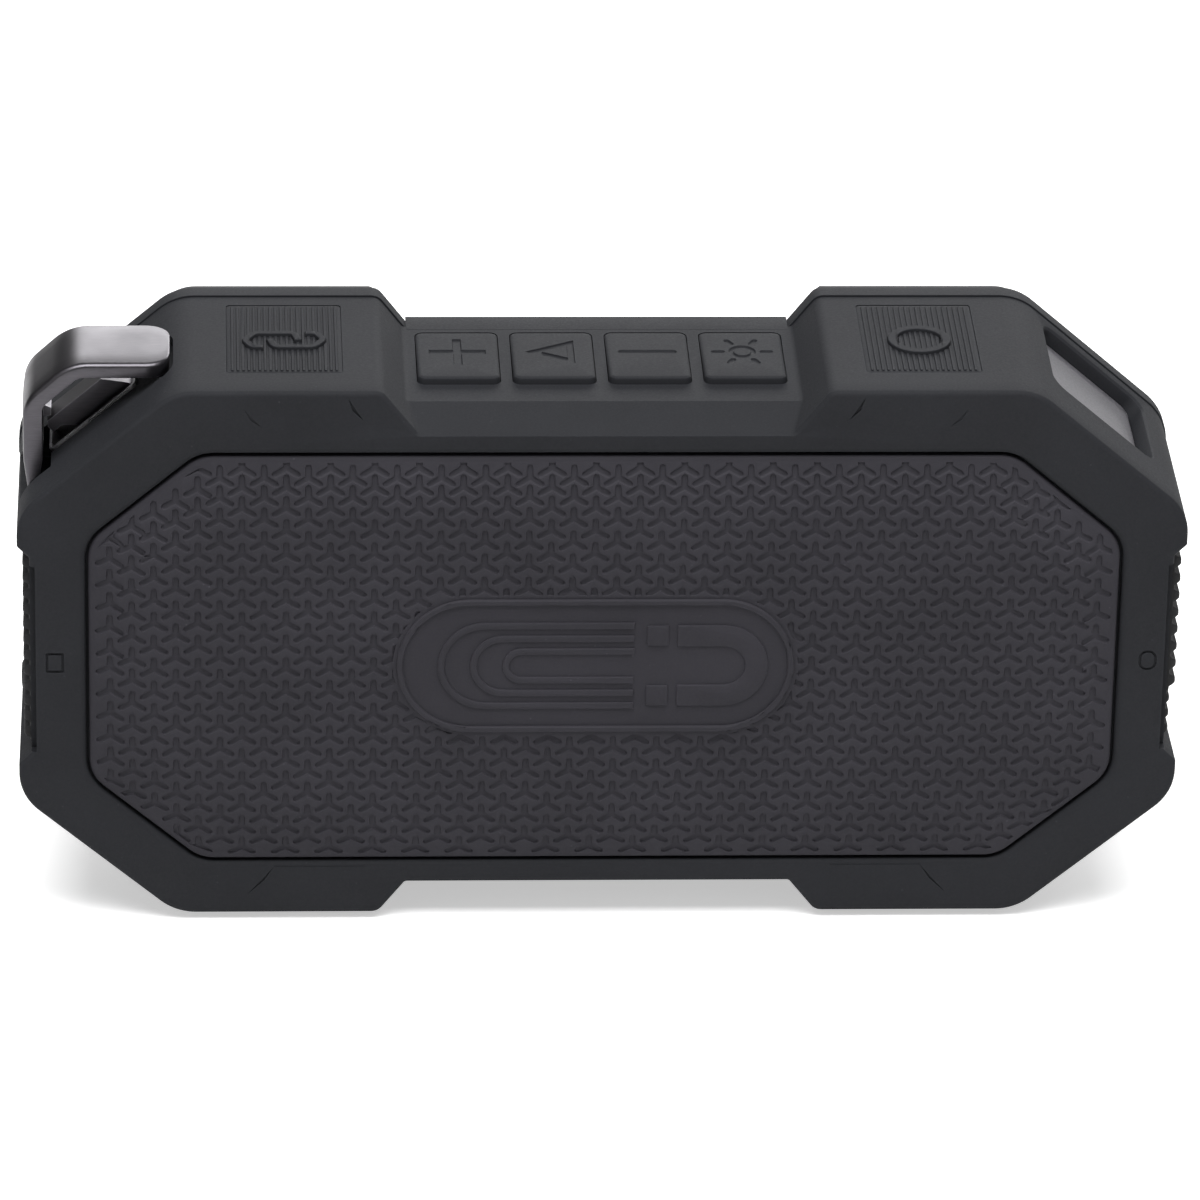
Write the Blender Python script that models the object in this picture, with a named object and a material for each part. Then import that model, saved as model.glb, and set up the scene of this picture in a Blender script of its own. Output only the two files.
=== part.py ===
"""Rugged portable speaker with a magnetic back, a corner carabiner and a corner lamp.

The magnetic back looks along -Y, the loudspeaker front along +Y, the keys are on top (+Z).
All sizes are metres. Sections below are given relative to the body centre and lifted by LIFT.
"""
import bmesh
import bpy
from math import cos, pi, sin, tan
from mathutils import Matrix, Vector

MM = 0.001

# body outline, seen along the depth
HALF_WIDTH = 95 * MM
HALF_HEIGHT = 48 * MM
LIFT = HALF_HEIGHT + 0.25 * MM
CHAMFER_X = 69.5 * MM           # where the corner chamfer leaves the top flat
CHAMFER_Z = 26.0 * MM           # where it meets the side
CORNER_R = 9 * MM
WAIST_Z = 42.6 * MM             # key deck between the corner bumpers
WAIST_FOOT_X = 32.0 * MM
WAIST_TOP_X = 36.2 * MM
SIDE_X = 93 * MM                # side face between the corner bumpers
SIDE_Z = 18 * MM

# levels through the depth
RING_Y = -24.0 * MM             # rear ring beside the panel
PARTING_Y = 12.5 * MM           # split between rear housing and front bezel
FRONT_Y = 24.5 * MM
TAPER = 0.0198                  # the housing gets this much lower towards the rear ring
BEZEL_DROP = 1.2 * MM           # the bezel passes this far below the key deck
LIP_Y = 17.0 * MM               # the key deck overhangs the bezel up to here
GAP = 0.3 * MM                  # clearance between neighbouring pieces

# rear panel
PANEL_HALF = (84.3 * MM, 36.8 * MM)
PANEL_CORNER = (66.0 * MM, 21.3 * MM)
PANEL_CENTRE = (0.3 * MM, -0.7 * MM)
PANEL_R = 7 * MM
PANEL_SEAT_Y = -22.0 * MM
PANEL_EDGE_Y = -23.8 * MM
PANEL_FLAT_Y = -25.4 * MM
BADGE_HALF = (32.4 * MM, 11.9 * MM)
BADGE_CENTRE = (-1.1 * MM, -1.0 * MM)

# inside of the housing
CAVITY_HALF = (88 * MM, 38.9 * MM)
CAVITY_CORNER = (64.5 * MM, 20 * MM)
CAVITY_BACK_Y = -19.4 * MM
OPENING_HALF = (82.5 * MM, 35.5 * MM)
OPENING_CORNER = (64.8 * MM, 20.8 * MM)
BOSS_X = 76 * MM
BOSS_Z = 18 * MM
BOSS_TOP_Y = 12.7 * MM
BOSS_R = 3.4 * MM
PILOT_R = 1.6 * MM

# keys
KEY_PITCH = 15.55 * MM
KEY_SIZE = (13.4 * MM, 19.8 * MM)
KEY_Y = 0.3 * MM
PAD_X = 51.7 * MM
PAD_Y = -3.7 * MM
PAD_SIZE = (18.7 * MM, 25.8 * MM)
KEY_BOARD_TOP = 34.0 * MM
KEYS = (("volume_up_key", "switch_volume_up"), ("play_key", "switch_play"),
        ("volume_down_key", "switch_volume_down"), ("light_key", "switch_light"))

# corner carabiner, measured on the left chamfer
HOOK_Y = -6.8 * MM
HOOK_HALF = 8.2 * MM
HOOK_THICK = 2.4 * MM
GATE_T = 10.6 * MM               # pivot, down the chamfer and below its face
GATE_H = -1.5 * MM
GATE_LENGTH = 14.3 * MM
SLOT_Y = -5.0 * MM
GATE_Y = (-7.55 * MM, -2.15 * MM)
SLOT_FLOOR = -3.9 * MM           # from the pivot
PIN_R = 0.75 * MM

# corner lamp on the right chamfer
LAMP_T = 16.5 * MM
LAMP_Y = -1.8 * MM
LAMP_HALF = (11.1 * MM, 11.3 * MM)
LAMP_DEPTH = 2.2 * MM            # face of the window below the chamfer
LENS_T = 16.2 * MM
LENS_HALF = (10.3 * MM, 10.8 * MM)
LENS_THICK = 1.5 * MM

# side inserts
INSERT_Y = -5.75 * MM
INSERT_HALF_Y = 15.45 * MM
INSERT_Z = (-16.8 * MM, 17.0 * MM)
INSERT_FLOOR_X = 91.5 * MM
COVER_HINGE = (93.6 * MM, -7.9 * MM)

# loudspeakers
DRIVER_X = 46 * MM
BAFFLE_Y = (13.0 * MM, 15.7 * MM)
RADIATOR_HALF = (20.2 * MM, 30.5 * MM)
ROUND = 20                      # sides of round pieces

MATERIALS = {
    "housing_rubber": ((0.060, 0.066, 0.070), 0.75, 0.0),
    "panel_rubber": ((0.045, 0.043, 0.048), 0.80, 0.0),
    "grille_metal": ((0.030, 0.031, 0.033), 0.45, 0.8),
    "hook_metal": ((0.42, 0.40, 0.41), 0.35, 1.0),
    "steel": ((0.55, 0.55, 0.56), 0.30, 1.0),
    "magnet_nickel": ((0.50, 0.49, 0.47), 0.25, 1.0),
    "ferrite": ((0.035, 0.035, 0.038), 0.60, 0.1),
    "black_plastic": ((0.020, 0.020, 0.022), 0.50, 0.0),
    "soft_rubber": ((0.012, 0.012, 0.013), 0.70, 0.0),
    "paper_cone": ((0.025, 0.025, 0.028), 0.85, 0.0),
    "lens": ((0.62, 0.63, 0.66), 0.30, 0.0),
    "board_green": ((0.02, 0.10, 0.05), 0.50, 0.0),
    "cell_wrap": ((0.03, 0.16, 0.38), 0.35, 0.0),
    "mesh_cloth": ((0.015, 0.015, 0.016), 0.95, 0.0),
}

SLOPE = Vector((HALF_WIDTH - CHAMFER_X, 0, CHAMFER_Z - HALF_HEIGHT)).normalized()
NORMAL = Vector((-SLOPE.z, 0, SLOPE.x))
PIVOT = Vector((CHAMFER_X, 0, HALF_HEIGHT)) + SLOPE * GATE_T + NORMAL * GATE_H


def clear_scene():
    for item in list(bpy.data.objects):
        bpy.data.objects.remove(item, do_unlink=True)


def make_material(name):
    colour, roughness, metallic = MATERIALS[name]
    material = bpy.data.materials.get(name) or bpy.data.materials.new(name)
    material.use_nodes = True
    shader = material.node_tree.nodes["Principled BSDF"]
    shader.inputs["Base Color"].default_value = (*colour, 1.0)
    shader.inputs["Roughness"].default_value = roughness
    shader.inputs["Metallic"].default_value = metallic
    material.diffuse_color = (*colour, 1.0)
    return material


# ---------------------------------------------------------------- outlines

def rounded(corners, steps=3):
    """Round every (x, z, r) corner of a closed outline with an arc of `steps` pieces."""
    points = []
    count = len(corners)
    pieces = steps if isinstance(steps, list) else [steps] * count
    for i, (x, z, r) in enumerate(corners):
        here = Vector((x, z))
        back = (Vector(corners[i - 1][:2]) - here).normalized()
        ahead = (Vector(corners[(i + 1) % count][:2]) - here).normalized()
        half = back.angle(ahead) / 2
        reach = r / tan(half)
        centre = here + (back + ahead).normalized() * (r / sin(half))
        start = here + back * reach - centre
        sweep = start.angle_signed(here + ahead * reach - centre)
        for k in range(pieces[i] + 1):
            turn = Matrix.Rotation(-sweep * k / pieces[i], 2)
            p = centre + turn @ start
            points.append((p.x, p.y))
    return points


def inset(corners, d):
    """Move every edge of a clockwise (x, z, r) outline inward by d."""
    result = []
    count = len(corners)
    for i, (x, z, r) in enumerate(corners):
        here = Vector((x, z))
        a = (here - Vector(corners[i - 1][:2])).normalized()
        b = (Vector(corners[(i + 1) % count][:2]) - here).normalized()
        turn = a.x * b.y - a.y * b.x
        normal_a = Vector((a.y, -a.x))
        normal_b = Vector((b.y, -b.x))
        mitre = (normal_a + normal_b) / (1 + normal_a.dot(normal_b))
        p = here + mitre * d
        result.append((p.x, p.y, max(r + (-d if turn < 0 else d), 0.2 * MM)))
    return result


def mirrored(quarter):
    """Clockwise outline from the corners of the upper right quarter, listed from the top down."""
    right = quarter + [(x, -z, r) for x, z, r in reversed(quarter)]
    return right + [(-x, z, r) for x, z, r in reversed(right)]


def body_outline(d=0.0, drop=0.0):
    """Outline inset by d, its key deck lowered by drop along the ramps."""
    foot_x = WAIST_FOOT_X - drop * (WAIST_TOP_X - WAIST_FOOT_X) / (HALF_HEIGHT - WAIST_Z)
    quarter = [
        (foot_x, WAIST_Z - drop, 1.0 * MM),
        (WAIST_TOP_X, HALF_HEIGHT, 1.6 * MM),
        (CHAMFER_X, HALF_HEIGHT, CORNER_R),
        (HALF_WIDTH, CHAMFER_Z, CORNER_R),
        (HALF_WIDTH, SIDE_Z + 2 * MM, 0.6 * MM),
        (SIDE_X, SIDE_Z, 0.6 * MM),
    ]
    half = [1, 1, 3, 3, 1, 1, 1, 1, 3, 3, 1, 1]
    return rounded(inset(mirrored(quarter), d), half + half)


def tapered_outline(d, y):
    """Housing outline at depth y: the top falls towards the rear, the standing face stays level."""
    drop = TAPER * (PARTING_Y - y) / (PARTING_Y - RING_Y)
    return [(x, z * (1 - drop) if z > 0 else z) for x, z in body_outline(d)]


def octagon(half, corner, radius, d=0.0):
    quarter = [(corner[0], half[1], radius), (half[0], corner[1], radius)]
    return rounded(inset(mirrored(quarter), d))


def panel_outline(d=0.0):
    x, z = PANEL_CENTRE
    return [(px + x, pz + z) for px, pz in octagon(PANEL_HALF, PANEL_CORNER, PANEL_R, d)]


def cavity_outline(d=0.0):
    return octagon(CAVITY_HALF, CAVITY_CORNER, 3 * MM, d)


def opening_outline(d=0.0):
    return octagon(OPENING_HALF, OPENING_CORNER, 5 * MM, d)


def box_outline(half_x, half_z, r, x=0.0, z=0.0, steps=2):
    corners = [(x + half_x, z + half_z, r), (x + half_x, z - half_z, r),
               (x - half_x, z - half_z, r), (x - half_x, z + half_z, r)]
    return rounded(corners, steps)


def circle(radius, x=0.0, z=0.0, sides=ROUND):
    return [(x + radius * sin(2 * pi * k / sides), z + radius * cos(2 * pi * k / sides))
            for k in range(sides)]


def stadium(half_x, half_z, d=0.0, x=0.0, z=0.0):
    """Racetrack outline; the straight runs follow the longer direction."""
    r = min(half_x, half_z) - d
    reach_x = max(half_x - half_z, 0)
    reach_z = max(half_z - half_x, 0)
    points = []
    for k in range(24):
        a = 2 * pi * (k + 0.5) / 24
        points.append((x + r * sin(a) + (reach_x if sin(a) > 0 else -reach_x),
                       z + r * cos(a) + (reach_z if cos(a) > 0 else -reach_z)))
    return points


# ---------------------------------------------------------------- solids

def add_mesh(name, verts, faces, material):
    mesh = bpy.data.meshes.new(name)
    mesh.from_pydata([Vector(v) for v in verts], [], faces)
    bm = bmesh.new()
    bm.from_mesh(mesh)
    bmesh.ops.remove_doubles(bm, verts=bm.verts, dist=1e-7)
    bmesh.ops.recalc_face_normals(bm, faces=bm.faces)
    bm.to_mesh(mesh)
    bm.free()
    body = bpy.data.objects.new(name, mesh)
    bpy.context.scene.collection.objects.link(body)
    mesh.materials.append(make_material(material))
    return body


def y_point(x, y, z):
    return (x, y, z + LIFT)


def stack(name, material, levels, place=y_point):
    """Closed solid through a list of (outline, level) sections."""
    verts = []
    faces = []
    n = len(levels[0][0])
    for outline, level in levels:
        verts += [place(p[0], level, p[1]) for p in outline]
    for k in range(len(levels) - 1):
        for i in range(n):
            j = (i + 1) % n
            faces.append((k * n + i, k * n + j, (k + 1) * n + j, (k + 1) * n + i))
    faces.append(tuple(range(n)))
    faces.append(tuple(range((len(levels) - 1) * n, len(levels) * n)))
    return add_mesh(name, verts, faces, material)


def sweep(name, material, sections, place=y_point):
    """Closed ring whose profile runs through the (outline, level) sections and back."""
    verts = []
    faces = []
    n = len(sections[0][0])
    m = len(sections)
    for outline, level in sections:
        verts += [place(p[0], level, p[1]) for p in outline]
    for k in range(m):
        for i in range(n):
            j = (i + 1) % n
            q = (k + 1) % m
            faces.append((k * n + i, k * n + j, q * n + j, q * n + i))
    return add_mesh(name, verts, faces, material)


def block(name, material, low, high, place=None):
    """Plain box between two corners given relative to the body centre."""
    corners = [(x, y, z) for x in (low[0], high[0]) for y in (low[1], high[1])
               for z in (low[2], high[2])]
    place = place or y_point
    faces = [(0, 1, 3, 2), (4, 6, 7, 5), (0, 4, 5, 1), (2, 3, 7, 6), (0, 2, 6, 4), (1, 5, 7, 3)]
    return add_mesh(name, [place(*c) for c in corners], faces, material)


def up_point(x, z, y):
    """Sections stacked along Z: the outline's second coordinate is the depth."""
    return (x, y, z + LIFT)


def side_point(z, x, y):
    """Sections stacked along X: the outline holds (z, y)."""
    return (x, y, z + LIFT)


def chamfer_place(side, pivot=None):
    """Placement on a top corner chamfer: t down the slope, y depth, h outward."""
    origin = Vector((CHAMFER_X, 0, HALF_HEIGHT)) if pivot is None else Vector(pivot)

    def place(t, y, h):
        p = origin + SLOPE * t + NORMAL * h
        return (side * p.x, y, p.z + LIFT)
    return place


def on_chamfer(side, pivot=None):
    """Placement of sections stacked along the chamfer normal: outline (t, y)."""
    place = chamfer_place(side, pivot)
    return lambda t, h, y: place(t, y, h)


def boolean(body, tool, operation):
    step = body.modifiers.new("shape", "BOOLEAN")
    step.operation = operation
    step.solver = "EXACT"
    step.object = tool
    graph = bpy.context.evaluated_depsgraph_get()
    shaped = bpy.data.meshes.new_from_object(body.evaluated_get(graph))
    body.modifiers.clear()
    old = body.data
    body.data = shaped
    shaped.name = body.name
    bpy.data.meshes.remove(old)
    bpy.data.objects.remove(tool, do_unlink=True)


def cut(body, tool):
    boolean(body, tool, "DIFFERENCE")


def join(body, tool):
    boolean(body, tool, "UNION")


def weld(body):
    """Merge the hair-thin edges that cutting leaves behind."""
    bm = bmesh.new()
    bm.from_mesh(body.data)
    bmesh.ops.dissolve_degenerate(bm, edges=bm.edges, dist=2e-6)
    bmesh.ops.remove_doubles(bm, verts=bm.verts, dist=2e-6)
    bm.to_mesh(body.data)
    bm.free()


def set_origin(body, point):
    """Put the object's origin at a point given relative to the body centre."""
    target = Vector(y_point(*point))
    body.data.transform(Matrix.Translation(-target))
    body.location = target


# ---------------------------------------------------------------- shell pieces

def cut_key_openings(body):
    for k in range(4):
        x = (k - 1.5) * KEY_PITCH
        hole = box_outline(KEY_SIZE[0] / 2 + GAP, KEY_SIZE[1] / 2 + GAP, 1.5 * MM, x, KEY_Y)
        cut(body, stack("tool", "steel", [(hole, 36 * MM), (hole, 44 * MM)], up_point))
    for x in (-PAD_X, PAD_X):
        seat = box_outline(PAD_SIZE[0] / 2 + GAP, PAD_SIZE[1] / 2 + GAP, 0.8 * MM, x, PAD_Y)
        well = box_outline(3 * MM, 3 * MM, 0.5 * MM, x, PAD_Y)
        floor, top = HALF_HEIGHT - 2.9 * MM, HALF_HEIGHT + MM
        cut(body, stack("tool", "steel", [(seat, floor), (seat, top)], up_point))
        cut(body, stack("tool", "steel", [(well, 36 * MM), (well, top)], up_point))


def cut_lamp_pocket(body):
    place = on_chamfer(1)
    half_t, half_y = LAMP_HALF
    mouth = box_outline(half_t, half_y, 2.5 * MM, LAMP_T, LAMP_Y)
    well = box_outline(7.5 * MM, 7.7 * MM, 1.0 * MM, LAMP_T, LAMP_Y)
    seat = -LAMP_DEPTH - LENS_THICK - GAP
    cut(body, stack("tool", "steel", [(mouth, seat), (mouth, 4 * MM)], place))
    cut(body, stack("tool", "steel", [(well, -14 * MM), (well, seat + MM)], place))


def cut_carabiner_pockets(body):
    place = on_chamfer(-1, PIVOT)
    slot = box_outline(9.5 * MM, 5.4 * MM, 0.8 * MM, 6.9 * MM, SLOT_Y)
    cut(body, stack("tool", "steel", [(slot, SLOT_FLOOR), (slot, 8 * MM)], place))
    half = HOOK_HALF + 0.5 * MM
    cut(body, block("tool", "steel", (-98 * MM, HOOK_Y - half, 24.2 * MM),
                    (-89.5 * MM, HOOK_Y + half, 36 * MM)))
    crown = box_outline(9.5 * MM, half, 4.0 * MM, -79.2 * MM, HOOK_Y)
    under = HALF_HEIGHT - HOOK_THICK - GAP
    cut(body, stack("tool", "steel", [(crown, under), (crown, 50 * MM)], up_point))
    tang = box_outline(1.8 * MM, 4.3 * MM, 0.5 * MM, -72.0 * MM, HOOK_Y)
    cut(body, stack("tool", "steel", [(tang, HALF_HEIGHT - 4.4 * MM), (tang, HALF_HEIGHT - MM)], up_point))
    bore = circle(PIN_R + 0.15 * MM, -PIVOT.x, PIVOT.z, 12)
    cut(body, stack("tool", "steel", [(bore, SLOT_Y - 7.0 * MM), (bore, SLOT_Y + 7.0 * MM)]))


def cut_side_recesses(body):
    for side in (-1, 1):
        x = sorted((side * INSERT_FLOOR_X, side * 98 * MM))
        low = (x[0], INSERT_Y - INSERT_HALF_Y - GAP, INSERT_Z[0])
        high = (x[1], INSERT_Y + INSERT_HALF_Y + GAP, INSERT_Z[1])
        cut(body, block("tool", "steel", low, high))
    port = box_outline(5.2 * MM, 2.3 * MM, 2.0 * MM, 1.0 * MM, -5.5 * MM)
    cut(body, stack("tool", "steel", [(port, 86 * MM), (port, 93 * MM)], side_point))
    jack = circle(2.9 * MM, 10.5 * MM, -5.5 * MM, 14)
    cut(body, stack("tool", "steel", [(jack, 86 * MM), (jack, 93 * MM)], side_point))


def add_deck_lip(body):
    """Thin edge of the key decks, above and below, that overhangs the bezel."""
    reach = WAIST_FOOT_X - BEZEL_DROP
    for side in (-1, 1):
        low, high = sorted((side * (WAIST_Z - BEZEL_DROP + 0.25 * MM + GAP), side * WAIST_Z))
        join(body, block("tool", "steel", (-reach, PARTING_Y - MM, low), (reach, LIP_Y, high)))


def cut_deck_slope(body):
    """The key deck falls away towards the rear ring, above and below."""
    for side, fall in ((-1, 0.8 * MM), (1, 3.5 * MM)):
        deck = [(-16.0 * MM, WAIST_Z), (-26 * MM, WAIST_Z - fall), (-26 * MM, 46 * MM),
                (-16.0 * MM, 46 * MM)]
        wedge = [(side * z, y) for y, z in deck]
        cut(body, stack("tool", "steel", [(wedge, -WAIST_FOOT_X + 0.8 * MM),
                                          (wedge, WAIST_FOOT_X - 0.8 * MM)], side_point))


def rear_housing():
    levels = [(4.0 * MM, RING_Y), (1.4 * MM, -23.3 * MM), (0.5 * MM, -22.6 * MM),
              (0.0, -21.0 * MM), (0.0, PARTING_Y - 0.15 * MM)]
    body = stack("rear_housing", "housing_rubber", [(tapered_outline(d, y), y) for d, y in levels])
    pocket = panel_outline()
    cut(body, stack("tool", "steel", [(pocket, PANEL_SEAT_Y), (pocket, -30 * MM)]))
    hollow = cavity_outline()
    cut(body, stack("tool", "steel", [(hollow, CAVITY_BACK_Y), (hollow, 20 * MM)]))
    for x in (-BOSS_X, BOSS_X):
        for z in (-BOSS_Z, BOSS_Z):
            post = circle(BOSS_R, x, z, 12)
            hole = circle(PILOT_R, x, z, 10)
            join(body, stack("tool", "steel", [(post, CAVITY_BACK_Y - MM), (post, BOSS_TOP_Y)]))
            cut(body, stack("tool", "steel", [(hole, 2 * MM), (hole, 15 * MM)]))
    for x in (-67 * MM, -30 * MM):
        for z in (-27 * MM, 27 * MM):
            post = circle(2.2 * MM, x, z, 8)
            join(body, stack("tool", "steel", [(post, CAVITY_BACK_Y - MM), (post, -12.9 * MM)]))
    groove = [(body_outline(0.8 * MM), 11.3 * MM), (body_outline(0.8 * MM), 14 * MM),
              (body_outline(2.3 * MM), 14 * MM), (body_outline(2.3 * MM), 11.3 * MM)]
    cut(body, sweep("tool", "steel", groove))
    add_deck_lip(body)
    cut_deck_slope(body)
    cut_key_openings(body)
    cut_lamp_pocket(body)
    cut_carabiner_pockets(body)
    cut_side_recesses(body)
    weld(body)
    return body


def housing_seal():
    sections = [(body_outline(d), y) for d, y in (
        (1.0 * MM, 11.6 * MM), (1.0 * MM, 12.4 * MM), (2.1 * MM, 12.4 * MM),
        (2.1 * MM, 11.6 * MM))]
    return sweep("housing_seal", "soft_rubber", sections)


def front_bezel():
    levels = [(-0.25 * MM, PARTING_Y + 0.15 * MM), (-0.25 * MM, 15.6 * MM), (0.2 * MM, 16.8 * MM),
              (2.4 * MM, 22.6 * MM), (3.2 * MM, 23.8 * MM), (4.2 * MM, FRONT_Y)]
    outlines = [(body_outline(d, BEZEL_DROP), y) for d, y in levels]
    body = stack("front_bezel", "housing_rubber", outlines)
    for outline, start, end in ((cavity_outline(0.3 * MM), 10, 16.0),
                                (opening_outline(), 14, 23), (opening_outline(-MM), 22, 30)):
        cut(body, stack("tool", "steel", [(outline, start * MM), (outline, end * MM)]))
    weld(body)
    return body


def magnet_panel():
    levels = [(0.5 * MM, PANEL_SEAT_Y - GAP), (0.5 * MM, -23.3 * MM), (1.1 * MM, PANEL_EDGE_Y),
              (9.0 * MM, PANEL_FLAT_Y)]
    body = stack("magnet_panel", "panel_rubber", [(panel_outline(d), y) for d, y in levels])
    sections = [(stadium(*BADGE_HALF, d, *BADGE_CENTRE), y) for d, y in (
        (0.0, -25.2 * MM), (0.0, -25.6 * MM), (0.4 * MM, -25.9 * MM), (1.0 * MM, -25.9 * MM),
        (1.3 * MM, -25.6 * MM), (1.3 * MM, -25.2 * MM))]
    join(body, sweep("tool", "steel", sections))
    return body


def magnets():
    for name, x in (("magnet_left", -42 * MM), ("magnet_right", 42 * MM)):
        outline = box_outline(20 * MM, 11 * MM, MM, x)
        stack(name, "magnet_nickel", [(outline, -19.1 * MM), (outline, -16.1 * MM)])
    outline = box_outline(64 * MM, 14 * MM, 2 * MM)
    stack("keeper_plate", "steel", [(outline, -15.8 * MM), (outline, -14.8 * MM)])


def front_grille():
    rim = [(0.4 * MM, 22.3 * MM), (0.4 * MM, 23.2 * MM), (1.4 * MM, 24.0 * MM),
           (10 * MM, 25.9 * MM)]
    body = stack("front_grille", "grille_metal", [(opening_outline(d - MM), y) for d, y in rim])
    under = [(1.4 * MM, 20 * MM), (1.4 * MM, 23.1 * MM), (10.2 * MM, 25.1 * MM)]
    cut(body, stack("tool", "steel", [(opening_outline(d - MM), y) for d, y in under]))
    for k in range(17):
        for side in (-1, 1):
            slot = box_outline(1.6 * MM, 8 * MM, 1.5 * MM, (k - 8) * 8.2 * MM, side * 11 * MM, 1)
            cut(body, stack("tool", "steel", [(slot, 20 * MM), (slot, 30 * MM)]))
    weld(body)
    return body


def dust_mesh():
    outline = opening_outline(0.4 * MM)
    return stack("dust_mesh", "mesh_cloth", [(outline, 21.4 * MM), (outline, 21.8 * MM)])


def baffle():
    outline = cavity_outline(0.7 * MM)
    body = stack("baffle", "black_plastic", [(outline, BAFFLE_Y[0]), (outline, BAFFLE_Y[1])])
    holes = [circle(23.0 * MM, x, 0, 28) for x in (-DRIVER_X, DRIVER_X)]
    holes += [stadium(*RADIATOR_HALF, 1.6 * MM)]
    holes += [circle(PILOT_R, x, z, 10) for x in (-BOSS_X, BOSS_X) for z in (-BOSS_Z, BOSS_Z)]
    for hole in holes:
        cut(body, stack("tool", "steel", [(hole, 10 * MM), (hole, 18 * MM)]))
    return body


def case_screws():
    for name, x, z in (("case_screw_1", -1, 1), ("case_screw_2", 1, 1),
                       ("case_screw_3", -1, -1), ("case_screw_4", 1, -1)):
        radii = ((1.25, 5.0), (1.25, 15.9), (2.4, 15.9), (2.4, 17.1), (1.6, 17.6))
        levels = [(circle(r * MM, x * BOSS_X, z * BOSS_Z, 12), y * MM) for r, y in radii]
        body = stack(name, "steel", levels)
        socket = circle(1.0 * MM, x * BOSS_X, z * BOSS_Z, 6)
        cut(body, stack("tool", "steel", [(socket, 16.6 * MM), (socket, 20 * MM)]))


# ---------------------------------------------------------------- loudspeakers

def driver(tag, x):
    def rings(profile):
        return [(circle(max(r, 0.0) * MM, x, 0), y * MM) for r, y in profile]

    sweep("driver_basket_" + tag, "black_plastic", rings((
        (24.4, 16.0), (24.4, 17.4), (21.6, 17.4), (21.6, 15.0), (13.4, 4.2), (6.6, 4.2),
        (6.6, 2.0), (14.4, 2.0), (22.6, 14.6), (22.6, 16.0))))
    stack("driver_magnet_" + tag, "ferrite", rings((
        (13.2, -6.3), (14.2, -5.6), (14.2, 1.7), (7.0, 1.7), (7.0, -3.0), (5.2, -3.0),
        (5.2, 4.0), (4.6, 4.4))))
    cone = stack("driver_cone_" + tag, "paper_cone", rings((
        (1.2, 11.6), (5.7, 9.3), (5.7, -0.5), (6.2, -0.5), (6.2, 8.7), (19.4, 17.2),
        (19.0, 17.6), (7.0, 9.9), (4.6, 11.6), (1.6, 12.5))))
    set_origin(cone, (x, 17.4 * MM, 0))
    roll = sweep("driver_surround_" + tag, "soft_rubber", rings((
        (19.7, 17.7), (20.3, 19.1), (21.9, 19.8), (23.3, 19.1), (23.7, 18.1), (24.3, 18.1),
        (24.3, 17.7), (23.3, 17.7), (22.9, 18.7), (21.9, 19.3), (20.7, 18.7), (20.2, 17.3),
        (19.7, 17.3))))
    set_origin(roll, (x, 17.4 * MM, 0))


def passive_radiator():
    def rings(profile):
        return [(stadium(*RADIATOR_HALF, d * MM), y * MM) for d, y in profile]

    sweep("radiator_frame", "black_plastic", rings((
        (0.0, 16.0), (0.0, 17.4), (3.4, 17.4), (3.4, 13.4), (2.0, 13.4), (2.0, 16.0))))
    roll = sweep("radiator_surround", "soft_rubber", rings((
        (0.4, 17.7), (0.4, 18.1), (1.2, 18.1), (1.9, 19.1), (3.3, 19.6), (4.7, 19.1),
        (5.3, 17.9), (6.0, 17.9), (6.0, 17.5), (4.9, 17.5), (4.3, 18.6), (3.3, 19.1),
        (2.3, 18.6), (1.7, 17.7))))
    set_origin(roll, (0, 17.7 * MM, 0))
    plate = stack("radiator_plate", "steel", rings((
        (9.5, 14.6), (9.5, 17.2), (6.3, 17.2), (6.3, 18.0), (7.0, 18.4))))
    set_origin(plate, (0, 17.7 * MM, 0))


# ---------------------------------------------------------------- electronics

def power_pack():
    for name, x in (("battery_cell_left", -9.5 * MM), ("battery_cell_right", 9.5 * MM)):
        radii = ((8.4, -35.0), (9.15, -34.2), (9.15, 28.6), (8.4, 29.2), (3.2, 29.2), (3.2, 30.0))
        stack(name, "cell_wrap", [(circle(r * MM, x, -4 * MM), z * MM) for r, z in radii],
              up_point)
    profile = [(-38.5, -14.5), (32.6, -14.5), (32.6, 4.0), (30.3, 4.0), (30.3, -13.4),
               (-35.3, -13.4), (-35.3, 4.0), (-38.5, 4.0)]
    outline = [(z * MM, y * MM) for z, y in profile]
    stack("battery_tray", "black_plastic", [(outline, -20 * MM), (outline, 20 * MM)], side_point)


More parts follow.
